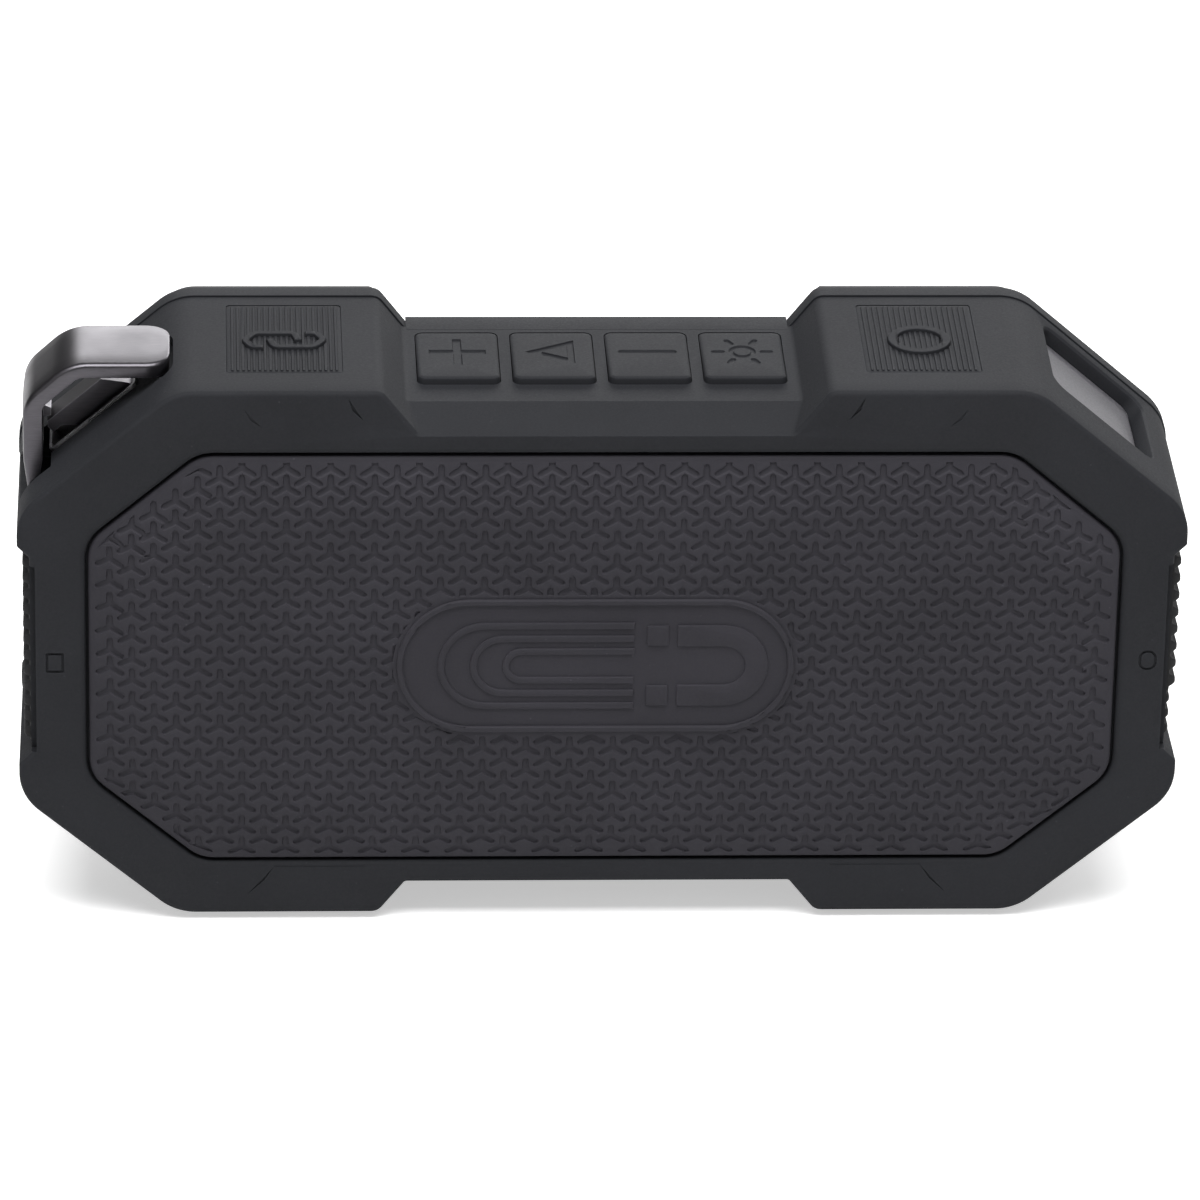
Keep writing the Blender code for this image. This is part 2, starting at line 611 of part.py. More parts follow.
def boards():
    block("main_board", "board_green", (-71 * MM, -12.6 * MM, -30 * MM),
          (-26 * MM, -11.4 * MM, 30 * MM))
    block("amplifier_chip", "black_plastic", (-52 * MM, -11.1 * MM, -6 * MM),
          (-43 * MM, -9.6 * MM, 3 * MM))
    block("radio_module", "steel", (-62 * MM, -11.1 * MM, 12 * MM),
          (-46 * MM, -8.9 * MM, 26 * MM))
    block("key_board", "board_green", (-60 * MM, -9.2 * MM, KEY_BOARD_TOP - MM),
          (60 * MM, 9.8 * MM, KEY_BOARD_TOP))
    block("port_board", "board_green", (74.5 * MM, -8.5 * MM, -10 * MM),
          (87.6 * MM, -7.4 * MM, 14.0 * MM))
    shell = [(box_outline(4.5 * MM, 1.6 * MM, 1.5 * MM, MM, -5.5 * MM), 83.5 * MM),
             (box_outline(4.5 * MM, 1.6 * MM, 1.5 * MM, MM, -5.5 * MM), 89.6 * MM)]
    usb = stack("usb_socket", "steel", shell, side_point)
    mouth = box_outline(4.1 * MM, 1.2 * MM, 1.1 * MM, MM, -5.5 * MM)
    cut(usb, stack("tool", "steel", [(mouth, 84.5 * MM), (mouth, 92 * MM)], side_point))
    jack = block("audio_jack", "black_plastic", (76.5 * MM, -7.1 * MM, 7.4 * MM),
                 (87.6 * MM, -3.0 * MM, 13.4 * MM))
    nose = circle(2.5 * MM, 10.5 * MM, -5.5 * MM, 14)
    join(jack, stack("tool", "steel", [(nose, 87 * MM), (nose, 90.6 * MM)], side_point))
    bore = circle(1.75 * MM, 10.5 * MM, -5.5 * MM, 12)
    trim = block("tool", "steel", (86 * MM, -9 * MM, 6 * MM), (92 * MM, -7.15 * MM, 15 * MM))
    cut(jack, trim)
    cut(jack, stack("tool", "steel", [(bore, 78 * MM), (bore, 92 * MM)], side_point))


def tact_switch(name, x, y, top):
    base = KEY_BOARD_TOP + GAP
    levels = [(box_outline(2.6 * MM, 2.6 * MM, 0.4 * MM, x, y, 2), z) for z in
              (base, top - 0.8 * MM)]
    body = stack(name, "steel", levels, up_point)
    button = circle(1.3 * MM, x, y, 10)
    join(body, stack("tool", "steel", [(button, top - 1.2 * MM), (button, top)], up_point))


def deck_key(name, x):
    """Key cap that stands proud at the rear edge and runs flush with the deck at the front."""
    half_x, half_y = KEY_SIZE[0] / 2, KEY_SIZE[1] / 2
    top = WAIST_Z + 0.9 * MM

    def place(px, z, py):
        drop = 0.8 * MM * (py - KEY_Y + half_y) / (2 * half_y) if z > 40 * MM else 0.0
        return (px, py, z - drop + LIFT)

    levels = [(box_outline(half_x + d * MM, half_y + d * MM, r * MM, x, KEY_Y), z)
              for d, r, z in ((0.6, 0.6, 37.3 * MM), (0.6, 0.6, 38.5 * MM), (0.0, 1.2, 38.5 * MM),
                              (0.0, 1.2, top - 0.5 * MM))]
    levels.append((box_outline(half_x - 0.5 * MM, half_y - 0.5 * MM, 0.9 * MM, x, KEY_Y), top))
    body = stack(name, "housing_rubber", levels, place)
    set_origin(body, (x, KEY_Y, 40 * MM))


def ribbed_pad(name, x):
    half_x, half_y = PAD_SIZE[0] / 2, PAD_SIZE[1] / 2
    top = HALF_HEIGHT - 0.35 * MM
    lean = TAPER * HALF_HEIGHT / (PARTING_Y - RING_Y)

    def place(px, z, py):
        return (px, py, z + lean * (py - PAD_Y) + LIFT)

    outline = box_outline(half_x, half_y, 0.7 * MM, x, PAD_Y, 1)
    body = stack(name, "housing_rubber", [(outline, top - 1.5 * MM), (outline, top)], place)
    for k in range(9):
        rib = box_outline(0.6 * MM, half_y - 0.8 * MM, 0.2 * MM, x + (k - 4) * 1.98 * MM, PAD_Y, 1)
        join(body, stack("tool", "steel", [(rib, top - 0.3 * MM), (rib, top + 0.3 * MM)], place))
    stem = box_outline(1.8 * MM, 1.8 * MM, 0.3 * MM, x, PAD_Y, 1)
    join(body, stack("tool", "steel", [(stem, 37.9 * MM), (stem, top - MM)], up_point))
    set_origin(body, (x, PAD_Y, top))


def keys():
    for k, (key, switch) in enumerate(KEYS):
        x = (k - 1.5) * KEY_PITCH
        deck_key(key, x)
        tact_switch(switch, x, KEY_Y, 36.3 * MM)
    for key, switch, x in (("link_key", "switch_link", -PAD_X),
                           ("power_key", "switch_power", PAD_X)):
        ribbed_pad(key, x)
        tact_switch(switch, x, PAD_Y, 37.2 * MM)


# ---------------------------------------------------------------- corner lamp

def lamp():
    place = on_chamfer(1)
    outline = box_outline(*LENS_HALF, 2.0 * MM, LENS_T, LAMP_Y)
    stack("lamp_lens", "lens", [(outline, -LAMP_DEPTH - LENS_THICK), (outline, -LAMP_DEPTH)], place)
    plate = box_outline(7 * MM, 7.2 * MM, 0.6 * MM, LAMP_T, LAMP_Y, 1)
    board = stack("lamp_board", "board_green", [(plate, -11.6 * MM), (plate, -10.6 * MM)], place)
    for t in (-3.6 * MM, 3.6 * MM):
        for y in (-4 * MM, 0.0, 4 * MM):
            chip = box_outline(1.4 * MM, 1.4 * MM, 0.3 * MM, LAMP_T + t, LAMP_Y + y, 1)
            join(board, stack("tool", "steel", [(chip, -10.8 * MM), (chip, -9.9 * MM)], place))


# ---------------------------------------------------------------- corner carabiner

def hook_path():
    """Outer line of the hook from its seat on the top flat to the free tip, with radii."""
    top = HALF_HEIGHT
    return [(-70.3 * MM, top), (-84.9 * MM, top), (-87.3 * MM, 47.3 * MM), (-92.3 * MM, 43.0 * MM),
            (-94.1 * MM, 40.2 * MM), (-94.1 * MM, 31.0 * MM), (-93.3 * MM, 25.4 * MM)]


def hook_inner():
    low = HALF_HEIGHT - HOOK_THICK
    return [(-70.3 * MM, low), (-84.1 * MM, low), (-85.5 * MM, 45.1 * MM), (-89.7 * MM, 41.4 * MM),
            (-90.8 * MM, 39.6 * MM), (-90.8 * MM, 31.0 * MM), (-91.8 * MM, 25.4 * MM)]


def carabiner_hook():
    outer = hook_path()
    inner = hook_inner()
    verts = []
    for (ox, oz), (ix, iz) in zip(outer, inner):
        lean = Vector((ox - ix, oz - iz)).normalized() * 0.5 * MM
        wide = HOOK_HALF
        slim = HOOK_HALF - 1.2 * MM
        for x, y, z in ((ix, -wide, iz), (ix, wide, iz), (ox - lean.x, wide, oz - lean.y),
                        (ox, slim, oz), (ox, -slim, oz), (ox - lean.x, -wide, oz - lean.y)):
            verts.append(y_point(x, HOOK_Y + y, z))
    faces = [tuple(range(6)), tuple(range(len(verts) - 6, len(verts)))]
    for k in range(len(outer) - 1):
        for i in range(6):
            j = (i + 1) % 6
            faces.append((k * 6 + i, k * 6 + j, k * 6 + 6 + j, k * 6 + 6 + i))
    body = add_mesh("carabiner_hook", verts, faces, "hook_metal")
    for side in (-1, 1):
        corner = [(-69.9, side * 8.8), (-69.9, side * 4.6), (-70.3, side * 4.6),
                  (-71.5, side * 7.0), (-73.9, side * 8.3), (-73.9, side * 8.8)]
        outline = [(x * MM, HOOK_Y + y * MM) for x, y in corner]
        cut(body, stack("tool", "steel", [(outline, 40 * MM), (outline, 50 * MM)], up_point))
    tang = box_outline(1.5 * MM, 4.0 * MM, 0.4 * MM, -72.0 * MM, HOOK_Y)
    low, high = HALF_HEIGHT - 4.1 * MM, HALF_HEIGHT - 1.4 * MM
    join(body, stack("tool", "steel", [(tang, low), (tang, high)], up_point))
    lip = [(-91.4, 38.0), (-89.5, 37.1), (-89.5, 35.75), (-91.4, 35.3)]
    outline = [(x * MM, z * MM) for x, z in reversed(lip)]
    join(body, stack("tool", "steel", [(outline, GATE_Y[0]), (outline, GATE_Y[1])]))
    return body


def carabiner_gate():
    """Bar parallel to the chamfer with a knuckle at its upper end and a web below it."""
    place = chamfer_place(-1, PIVOT)
    end = GATE_LENGTH
    profile = [(-1.4 * MM, -0.7 * MM), (0.0, -1.5 * MM), (1.5 * MM, -1.4 * MM),
               (8.5 * MM, -0.4 * MM), (12.4 * MM, 2.8 * MM), (end, 2.8 * MM), (end, 4.1 * MM),
               (end - 0.6 * MM, 4.9 * MM), (2.2 * MM, 4.9 * MM), (-0.4 * MM, 1.9 * MM),
               (-1.5 * MM, 0.4 * MM)]
    body = stack("carabiner_gate", "hook_metal", [(profile, GATE_Y[0]), (profile, GATE_Y[1])],
                 place)
    bore = circle(PIN_R + 0.15 * MM, 0, 0, 12)
    cut(body, stack("tool", "steel", [(bore, GATE_Y[0] - MM), (bore, GATE_Y[1] + MM)], place))
    set_origin(body, (-PIVOT.x, SLOT_Y, PIVOT.z))


def gate_hardware():
    place = on_chamfer(-1, PIVOT)
    outer = box_outline(9.2 * MM, 5.1 * MM, 0.7 * MM, 6.9 * MM, SLOT_Y)
    inner = box_outline(8.7 * MM, 4.6 * MM, 0.4 * MM, 6.9 * MM, SLOT_Y)
    liner = sweep("gate_liner", "hook_metal", [(outer, -2.9 * MM), (outer, 1.65 * MM),
                                               (inner, 1.65 * MM), (inner, -2.9 * MM)], place)
    x, z = -PIVOT.x, PIVOT.z
    bore = circle(PIN_R + 0.15 * MM, x, z, 12)
    cut(liner, stack("tool", "steel", [(bore, SLOT_Y - 7 * MM), (bore, SLOT_Y + 7 * MM)]))
    pin = circle(PIN_R, x, z, 12)
    stack("gate_pin", "steel", [(pin, SLOT_Y - 6.7 * MM), (pin, SLOT_Y + 6.7 * MM)])
    wide = circle(1.5 * MM, x, z, 12)
    slim = circle(1.05 * MM, x, z, 12)
    low = GATE_Y[1] + GAP
    high = SLOT_Y + 4.3 * MM
    sweep("gate_spring", "steel", [(wide, low), (wide, high), (slim, high), (slim, low)])


# ---------------------------------------------------------------- side pieces

def ribbed_insert(name, side, z_range, base_x, rib_x, ribs):
    """Slab in a side recess with ribs across the depth."""
    low, high = z_range
    half = INSERT_HALF_Y
    x = sorted((side * (INSERT_FLOOR_X + GAP), side * base_x))
    body = block(name, "soft_rubber", (x[0], INSERT_Y - half, low), (x[1], INSERT_Y + half, high))
    pitch = (high - low) / ribs
    for k in range(ribs):
        z = low + (k + 0.5) * pitch
        profile = [(z - 0.36 * pitch, base_x - 0.4 * MM), (z - 0.36 * pitch, base_x),
                   (z - 0.2 * pitch, rib_x), (z + 0.2 * pitch, rib_x),
                   (z + 0.36 * pitch, base_x), (z + 0.36 * pitch, base_x - 0.4 * MM)]
        outline = [(side * px, pz) for pz, px in profile]
        join(body, stack("tool", "steel", [(outline, INSERT_Y - half + 0.8 * MM),
                                           (outline, INSERT_Y + half - 0.8 * MM)]))
    return body


def side_inserts():
    low, high = INSERT_Z[0] + GAP, INSERT_Z[1] - GAP
    ribbed_insert("grip_insert", -1, (low, high), 93.2 * MM, 94.2 * MM, 12)
    ribbed_insert("port_grip", 1, (low, COVER_HINGE[1] - 0.4 * MM), 93.0 * MM, 93.8 * MM, 3)
    cover = ribbed_insert("port_cover", 1, (COVER_HINGE[1], high), COVER_HINGE[0], 94.6 * MM, 8)
    plug = box_outline(3.7 * MM, 1.2 * MM, 1.0 * MM, MM, -5.5 * MM)
    join(cover, stack("tool", "steel", [(plug, 90.1 * MM), (plug, 92.4 * MM)], side_point))
    set_origin(cover, (COVER_HINGE[0], INSERT_Y, COVER_HINGE[1]))


def build():
    clear_scene()
    rear_housing()
    housing_seal()
    front_bezel()
    magnet_panel()
    magnets()
    front_grille()
    dust_mesh()
    baffle()
    case_screws()
    driver("left", -DRIVER_X)
    driver("right", DRIVER_X)
    passive_radiator()
    power_pack()
    boards()
    keys()
    lamp()
    carabiner_hook()
    carabiner_gate()
    gate_hardware()
    side_inserts()


build()
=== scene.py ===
from math import atan2, cos, exp, hypot, log, pi, radians, sin, tan

import bmesh
import bpy
from mathutils import Matrix, Vector
from mathutils.geometry import delaunay_2d_cdt

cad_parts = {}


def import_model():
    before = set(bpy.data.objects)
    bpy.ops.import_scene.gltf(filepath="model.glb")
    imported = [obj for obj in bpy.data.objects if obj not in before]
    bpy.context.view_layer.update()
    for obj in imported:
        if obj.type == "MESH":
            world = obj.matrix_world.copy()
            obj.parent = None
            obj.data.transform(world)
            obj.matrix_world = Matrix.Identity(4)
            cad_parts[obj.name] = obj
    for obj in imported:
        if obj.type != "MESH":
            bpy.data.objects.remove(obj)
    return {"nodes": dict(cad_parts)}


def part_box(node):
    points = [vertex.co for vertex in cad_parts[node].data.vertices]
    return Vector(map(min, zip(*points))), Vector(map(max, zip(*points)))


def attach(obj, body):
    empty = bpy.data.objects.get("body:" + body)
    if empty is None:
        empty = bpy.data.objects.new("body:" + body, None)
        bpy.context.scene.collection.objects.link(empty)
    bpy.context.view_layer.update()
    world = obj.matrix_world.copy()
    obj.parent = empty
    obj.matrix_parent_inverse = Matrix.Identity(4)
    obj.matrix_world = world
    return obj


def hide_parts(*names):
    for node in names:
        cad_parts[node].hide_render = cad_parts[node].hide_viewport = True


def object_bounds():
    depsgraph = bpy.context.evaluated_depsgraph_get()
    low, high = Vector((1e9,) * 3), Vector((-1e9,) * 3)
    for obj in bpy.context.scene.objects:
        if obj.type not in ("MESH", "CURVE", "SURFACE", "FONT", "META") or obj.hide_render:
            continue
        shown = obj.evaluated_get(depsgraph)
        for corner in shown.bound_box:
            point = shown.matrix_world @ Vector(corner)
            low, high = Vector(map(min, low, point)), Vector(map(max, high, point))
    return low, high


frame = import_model()
CAD_LOW, CAD_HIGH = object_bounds()

# Everything below is in millimetres around the middle of the body; place() turns it into the frame.
MM = 0.001
MID_Z = sum(corner.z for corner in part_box("rear_housing")) / 2


def to_mm(point):
    """Millimetres around the middle of the body, for a position in the frame."""
    return (point - Vector((0, 0, MID_Z))) / MM


def box_mm(node):
    """Low and high corner of a CAD node in millimetres."""
    return [to_mm(corner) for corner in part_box(node)]


def middle_half(node):
    """Middle and half sizes of a CAD node seen from above: x, y, half_x, half_y."""
    low, high = box_mm(node)
    return (low.x + high.x) / 2, (low.y + high.y) / 2, (high.x - low.x) / 2, (high.y - low.y) / 2


SHELL_LOW, SHELL_HIGH = box_mm("rear_housing")
BEZEL_LOW, BEZEL_HIGH = box_mm("front_bezel")
PANEL_LOW, PANEL_HIGH = box_mm("magnet_panel")
HOOK_LOW, HOOK_HIGH = box_mm("carabiner_hook")
GRIP_LOW, GRIP_HIGH = box_mm("grip_insert")
COVER_LOW, COVER_HIGH = box_mm("port_cover")
PORT_GRIP_LOW = box_mm("port_grip")[0]

# body outline, seen along the depth
HALF_WIDTH = SHELL_HIGH.x
HALF_HEIGHT = SHELL_HIGH.z
CHAMFER_X = HALF_WIDTH - 25.5    # where the corner chamfer leaves the top flat
CHAMFER_Z = HALF_HEIGHT - 22.0   # where it meets the side
CORNER_R = 9.0
WAIST_Z = HALF_HEIGHT - 5.4      # key deck between the corner bumpers
WAIST_FOOT_X = 32.0
WAIST_TOP_X = 36.2
RAMP = (WAIST_TOP_X - WAIST_FOOT_X) / (HALF_HEIGHT - WAIST_Z)
SIDE_X = HALF_WIDTH - 2.0        # side face between the corner bumpers
SIDE_Z = 18.0

# levels through the depth: the rear ring is at low y, the grille at high y
RING_Y = SHELL_LOW.y
SHELL_END_Y = BEZEL_LOW.y - 0.3
FRONT_Y = BEZEL_HIGH.y
TAPER = 0.0198                   # share of its height that the shell loses towards the ring
PARTING_Y = BEZEL_LOW.y - 0.15   # middle of the visible parting line
PARTING_GAP = 0.12
BEZEL_DROP = 1.2                 # the bezel passes this far below the key deck
LIP_Y = 17.0                     # the key deck overhangs the bezel up to here
DECK_EDGE_Y = -16.0              # the deck slopes down from here to the ring
DECK_SLOPE = (0.31, 0.08)        # above and below
RING_R = 0.8                     # rounding of the ring's outer edge
CAVITY_Y = -19.4                 # rear wall of the cavity
CAVITY_END_Y = 20.0
SEAL_Y = 11.3                    # groove of the seal
GAP = 0.3                        # between pieces that fit into each other
SHELL_SHARP = 28                 # degrees

# keys
DECK_KEYS = ("volume_up_key", "play_key", "volume_down_key", "light_key")
PADS = ("link_key", "power_key")
KEY_FLANGE = 0.6                 # hidden flange round a key
KEY_GAP = 0.14
KEY_FOOT_Z = 38.5                # the flange's top
DECK_UNDER_Z = 36.0              # cuts through the deck end here
PAD_DEPTH = 3.2                  # pocket of a pad

# rear panel
PANEL_INSET = 0.5
PANEL_X = (PANEL_LOW.x + PANEL_HIGH.x) / 2
PANEL_Z = (PANEL_LOW.z + PANEL_HIGH.z) / 2
PANEL_HALF = (PANEL_HIGH.x - PANEL_X + PANEL_INSET, PANEL_HIGH.z - PANEL_Z + PANEL_INSET)
PANEL_CORNER = (PANEL_HALF[0] - 18.3, PANEL_HALF[1] - 15.5)
PANEL_R = 7.0
PANEL_SEAT_Y = PANEL_HIGH.y + GAP
PANEL_FLAT_Y = PANEL_LOW.y + 0.5
PANEL_EDGE_Y = PANEL_FLAT_Y + 1.6
CROWN_REACH = 11.0
STAR_PITCH = (3.57, 4.12)
STAR_START = (2.05, 0.50)        # middle of one star
STAR_ARM = 1.22                  # width of an arm
STAR_UP = 2.28                   # reach of the upper arm
STAR_SIDE = 2.38                 # sideways reach of the other two
STAR_DROP = 0.56                 # their fall for that reach
STAR_RISE = 1.1                  # the upper rows close up by this share of the crown's fall
TREAD_MARGIN = 1.4               # the tread stops this far inside the panel's edge
STAR_MARGIN = 1.2                # a star whose middle is nearer to the edge is left out
BADGE_CLEAR = -0.6               # and one that lies further inside the badge
BADGE_HALF = (32.4, 11.95)
BADGE_X, BADGE_Z = -1.1, -1.0
BADGE_RIM = 1.0

# front opening and cavity
CAVITY_HALF = (88.0, 38.9)
CAVITY_CORNER = (64.5, 20.0)
OPENING_HALF = (82.5, 35.5)
OPENING_CORNER = (64.8, 20.8)
SCREW_X, SCREW_Z = 76, 18
GRILLE_Y = 24.0                  # face of the grille's border

# side recesses and the sockets behind the flap
RECESS_X = 91.5
SOCKET_Y = -5.5
PORT_Z, JACK_Z = 1.0, 10.5
FLAP_LOW_Z = max(COVER_LOW.z, -7.9)

# frames of the top corner chamfers, drawn for the right one
CHAMFER_START = Vector((CHAMFER_X, 0, HALF_HEIGHT))
SLOPE = Vector((HALF_WIDTH - CHAMFER_X, 0, CHAMFER_Z - HALF_HEIGHT)).normalized()
NORMAL = Vector((-SLOPE.z, 0, SLOPE.x))
HOOK_Y = (HOOK_LOW.y + HOOK_HIGH.y) / 2
HOOK_HALF = (HOOK_HIGH.y - HOOK_LOW.y) / 2
HOOK_X = HOOK_LOW.x              # outer face of the leg
LINER_LOW, LINER_HIGH = box_mm("gate_liner")
SLOT_Y = (LINER_LOW.y + LINER_HIGH.y) / 2
GATE_LOW, GATE_HIGH = box_mm("carabiner_gate")
PIN_LOW, PIN_HIGH = box_mm("gate_pin")
PIVOT = Vector((-(PIN_LOW.x + PIN_HIGH.x) / 2, 0, (PIN_LOW.z + PIN_HIGH.z) / 2))
LAMP_T = 16.5                    # middle of the lamp's pocket, down the chamfer
LAMP_Y = -1.8
LAMP_HALF = (11.1, 11.3)
LENS_T = 16.2
LENS_HALF = (10.3, 10.8)
LENS_FACE = -2.2                 # below the chamfer
LENS_THICK = 1.5


def place(x, y, z):
    """Frame position of a point given in millimetres around the middle of the body."""
    return Vector((x * MM, y * MM, z * MM + MID_Z))


# ---- outlines

def corner_arc(before, corner, after, pieces):
    """Points of the arc that rounds one (x, z, r) corner between its two neighbours."""
    here = Vector(corner[:2])
    back = (Vector(before[:2]) - here).normalized()
    ahead = (Vector(after[:2]) - here).normalized()
    half = back.angle(ahead) / 2
    reach = corner[2] / tan(half)
    centre = here + (back + ahead).normalized() * (corner[2] / sin(half))
    start = here + back * reach - centre
    turn = start.angle_signed(here + ahead * reach - centre)
    arc = [centre + Matrix.Rotation(-turn * k / pieces, 2) @ start for k in range(pieces + 1)]
    return [(p.x, p.y) for p in arc]


def rounded(corners, steps=5):
    """Closed outline whose (x, z, r) corners are arcs; steps is one number of pieces or a list."""
    points = []
    count = len(corners)
    pieces = steps if isinstance(steps, list) else [steps] * count
    for i, corner in enumerate(corners):
        points += corner_arc(corners[i - 1], corner, corners[(i + 1) % count], pieces[i])
    return points


def fillet_path(corners, steps=9):
    """Open path whose inner corners (x, z, r) are arcs."""
    points = [corners[0][:2]]
    for before, corner, after in zip(corners, corners[1:], corners[2:]):
        points += corner_arc(before, corner, after, steps)
    return points + [corners[-1][:2]]


def inset(corners, d):
    """Move every edge of a clockwise (x, z, r) outline inward by d."""
    result = []
    count = len(corners)
    for i, (x, z, r) in enumerate(corners):
        here = Vector((x, z))
        a = (here - Vector(corners[i - 1][:2])).normalized()
        b = (Vector(corners[(i + 1) % count][:2]) - here).normalized()
        turn = a.x * b.y - a.y * b.x
        normal_a = Vector((a.y, -a.x))
        normal_b = Vector((b.y, -b.x))
        p = here + (normal_a + normal_b) / (1 + normal_a.dot(normal_b)) * d
        result.append((p.x, p.y, max(r + (-d if turn < 0 else d), 0.2)))
    return result


def mirrored(upper, lower):
    """Clockwise outline from the corners of its right quarters, both drawn as if they were on top."""
    right = upper + [(x, -z, r) for x, z, r in reversed(lower)]
    return right + [(-x, z, r) for x, z, r in reversed(right)]


def shell_outline(d, y, lower=0.0):
    """Body outline at depth y: it tapers towards the rear, where the key deck slopes away."""
    share = min(max((SHELL_END_Y - y) / (SHELL_END_Y - RING_Y), 0.0), 1.0)
    quarters = []
    for slope in DECK_SLOPE:
        drop = lower + max(slope * (DECK_EDGE_Y - y) - max(d, 0.0), 0.0)
        quarters.append([
            (WAIST_FOOT_X - drop * RAMP, WAIST_Z - drop, 1.3),
            (WAIST_TOP_X, HALF_HEIGHT, 2.2),
            (CHAMFER_X, HALF_HEIGHT, CORNER_R),
            (HALF_WIDTH, CHAMFER_Z, CORNER_R),
            (HALF_WIDTH, SIDE_Z + 2.0, 0.6),
            (SIDE_X, SIDE_Z, 0.6),
        ])
    pieces = [4, 5, 10, 10, 3, 3]
    points = rounded(inset(mirrored(*quarters), d), (pieces + pieces[::-1]) * 2)
    return [(x, z * (1 - TAPER * share)) for x, z in points]


def octagon(half, corner, radius, d=0.0, steps=8):
    quarter = [(corner[0], half[1], radius), (half[0], corner[1], radius)]
    return rounded(inset(mirrored(quarter, quarter), d), steps)


def panel_outline(d=0.0):
    outline = octagon(PANEL_HALF, PANEL_CORNER, PANEL_R, d)
    return [(x + PANEL_X, z + PANEL_Z) for x, z in outline]


def cavity_outline(d=0.0):
    return octagon(CAVITY_HALF, CAVITY_CORNER, 3.0, d, 4)


def opening_outline(d=0.0):
    return octagon(OPENING_HALF, OPENING_CORNER, 5.0, d)


def box_outline(half_x, half_z, r, x=0.0, z=0.0, steps=5):
    corners = [(x + half_x, z + half_z, r), (x + half_x, z - half_z, r),
               (x - half_x, z - half_z, r), (x - half_x, z + half_z, r)]
    return rounded(corners, steps)


def circle(radius, x, z, sides):
    return [(x + radius * sin(2 * pi * k / sides), z + radius * cos(2 * pi * k / sides))
            for k in range(sides)]


def bar(x0, z0, x1, z1, width):
    """Round-ended bar between two points."""
    a = atan2(x1 - x0, z1 - z0)
    r = width / 2
    points = []
    for x, z, start in ((x1, z1, a - pi / 2), (x0, z0, a + pi / 2)):
        for k in range(7):
            turn = start + pi * k / 6
            points.append((x + r * sin(turn), z + r * cos(turn)))
    return points


def band(points, width):
    """Closed outline of a line of the given width along a smooth open path."""
    left = []
    right = []
    for i, (x, z) in enumerate(points):
        ahead = points[min(i + 1, len(points) - 1)]
        back = points[max(i - 1, 0)]
        run = Vector((ahead[0] - back[0], ahead[1] - back[1])).normalized()
        left.append((x - run.y * width / 2, z + run.x * width / 2))
        right.append((x + run.y * width / 2, z - run.x * width / 2))
    return left + right[::-1]


# ---- meshes

def new_object(name, data):
    thing = bpy.data.objects.new(name, data)
    bpy.context.scene.collection.objects.link(thing)
    return thing


def mesh_object(name, bm):
    bmesh.ops.recalc_face_normals(bm, faces=bm.faces)
    mesh = bpy.data.meshes.new(name)
    bm.to_mesh(mesh)
    bm.free()
    return new_object(name, mesh)


def raw_piece(name, bm):
    bmesh.ops.remove_doubles(bm, verts=bm.verts, dist=1e-7)
    return mesh_object(name, bm)


def dress(piece, material, node, sharp, body="housing"):
    """Material, smooth shading below the sharp angle in degrees, CAD node and body of a piece."""
    mesh = piece.data
    mesh.materials.clear()
    mesh.materials.append(FINISH[material])
    mesh.shade_smooth()
    mesh.set_sharp_from_angle(angle=radians(sharp))
    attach(piece, body)
    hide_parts(node)


def join_rows(bm, low, high):
    """Quads between two closed rows of vertices."""
    for i in range(len(low)):
        j = (i + 1) % len(low)
        bm.faces.new((low[i], low[j], high[j], high[i]))


def close_rows(bm, rows):
    """Closed solid through rows of vertices."""
    for low, high in zip(rows, rows[1:]):
        join_rows(bm, low, high)
    bm.faces.new(rows[0])
    bm.faces.new(rows[-1])


def loft_into(bm, levels, put=place, ring=False):
    """Add a closed solid through (outline, level) sections; a ring closes back on its first one."""
    rows = [[bm.verts.new(put(p[0], level, p[1])) for p in outline] for outline, level in levels]
    if ring:
        for k, row in enumerate(rows):
            join_rows(bm, row, rows[(k + 1) % len(rows)])
    else:
        close_rows(bm, rows)


def loft(levels, put=place, ring=False):
    bm = bmesh.new()
    loft_into(bm, levels, put, ring)
    return bm


def cutter(levels, put=place, ring=False):
    return mesh_object("cutter", loft(levels, put, ring))


def prism(outline, start, end, put=place):
    """Tool with one outline between two levels."""
    return cutter([(outline, start), (outline, end)], put)


def block(low, high):
    """Box-shaped tool between two corners."""
    outline = [(low[0], low[2]), (low[0], high[2]), (high[0], high[2]), (high[0], low[2])]
    return prism(outline, low[1], high[1])


def up_point(x, z, y):
    """Sections stacked along Z; the outline holds (x, y)."""
    return place(x, y, z)


def side_point(z, x, y):
    """Sections stacked along X; the outline holds (z, y)."""
    return place(x, y, z)


def on_chamfer(side, origin):
    """Sections stacked along a top chamfer's normal; the outline holds (t down the slope, y)."""
    def put(t, h, y):
        p = origin + SLOPE * t + NORMAL * h
        return place(side * p.x, y, p.z)
    return put


def boolean(body, tool, operation):
    step = body.modifiers.new("shape", "BOOLEAN")
    step.operation = operation
    step.solver = "EXACT"
    step.object = tool
    graph = bpy.context.evaluated_depsgraph_get()
    shaped = bpy.data.meshes.new_from_object(body.evaluated_get(graph))
    body.modifiers.clear()
    old = body.data
    body.data = shaped
    bpy.data.meshes.remove(old)
    bpy.data.objects.remove(tool, do_unlink=True)


def cut(body, tool):
    boolean(body, tool, "DIFFERENCE")


def join(body, tool):
    boolean(body, tool, "UNION")


def crease(piece, test):
    """Keep the edges sharp whose ends both pass the test, given in millimetres."""
    mesh = piece.data
    chosen = [test(to_mm(vert.co)) for vert in mesh.vertices]
    for edge in mesh.edges:
        if chosen[edge.vertices[0]] and chosen[edge.vertices[1]]:
            edge.use_edge_sharp = True


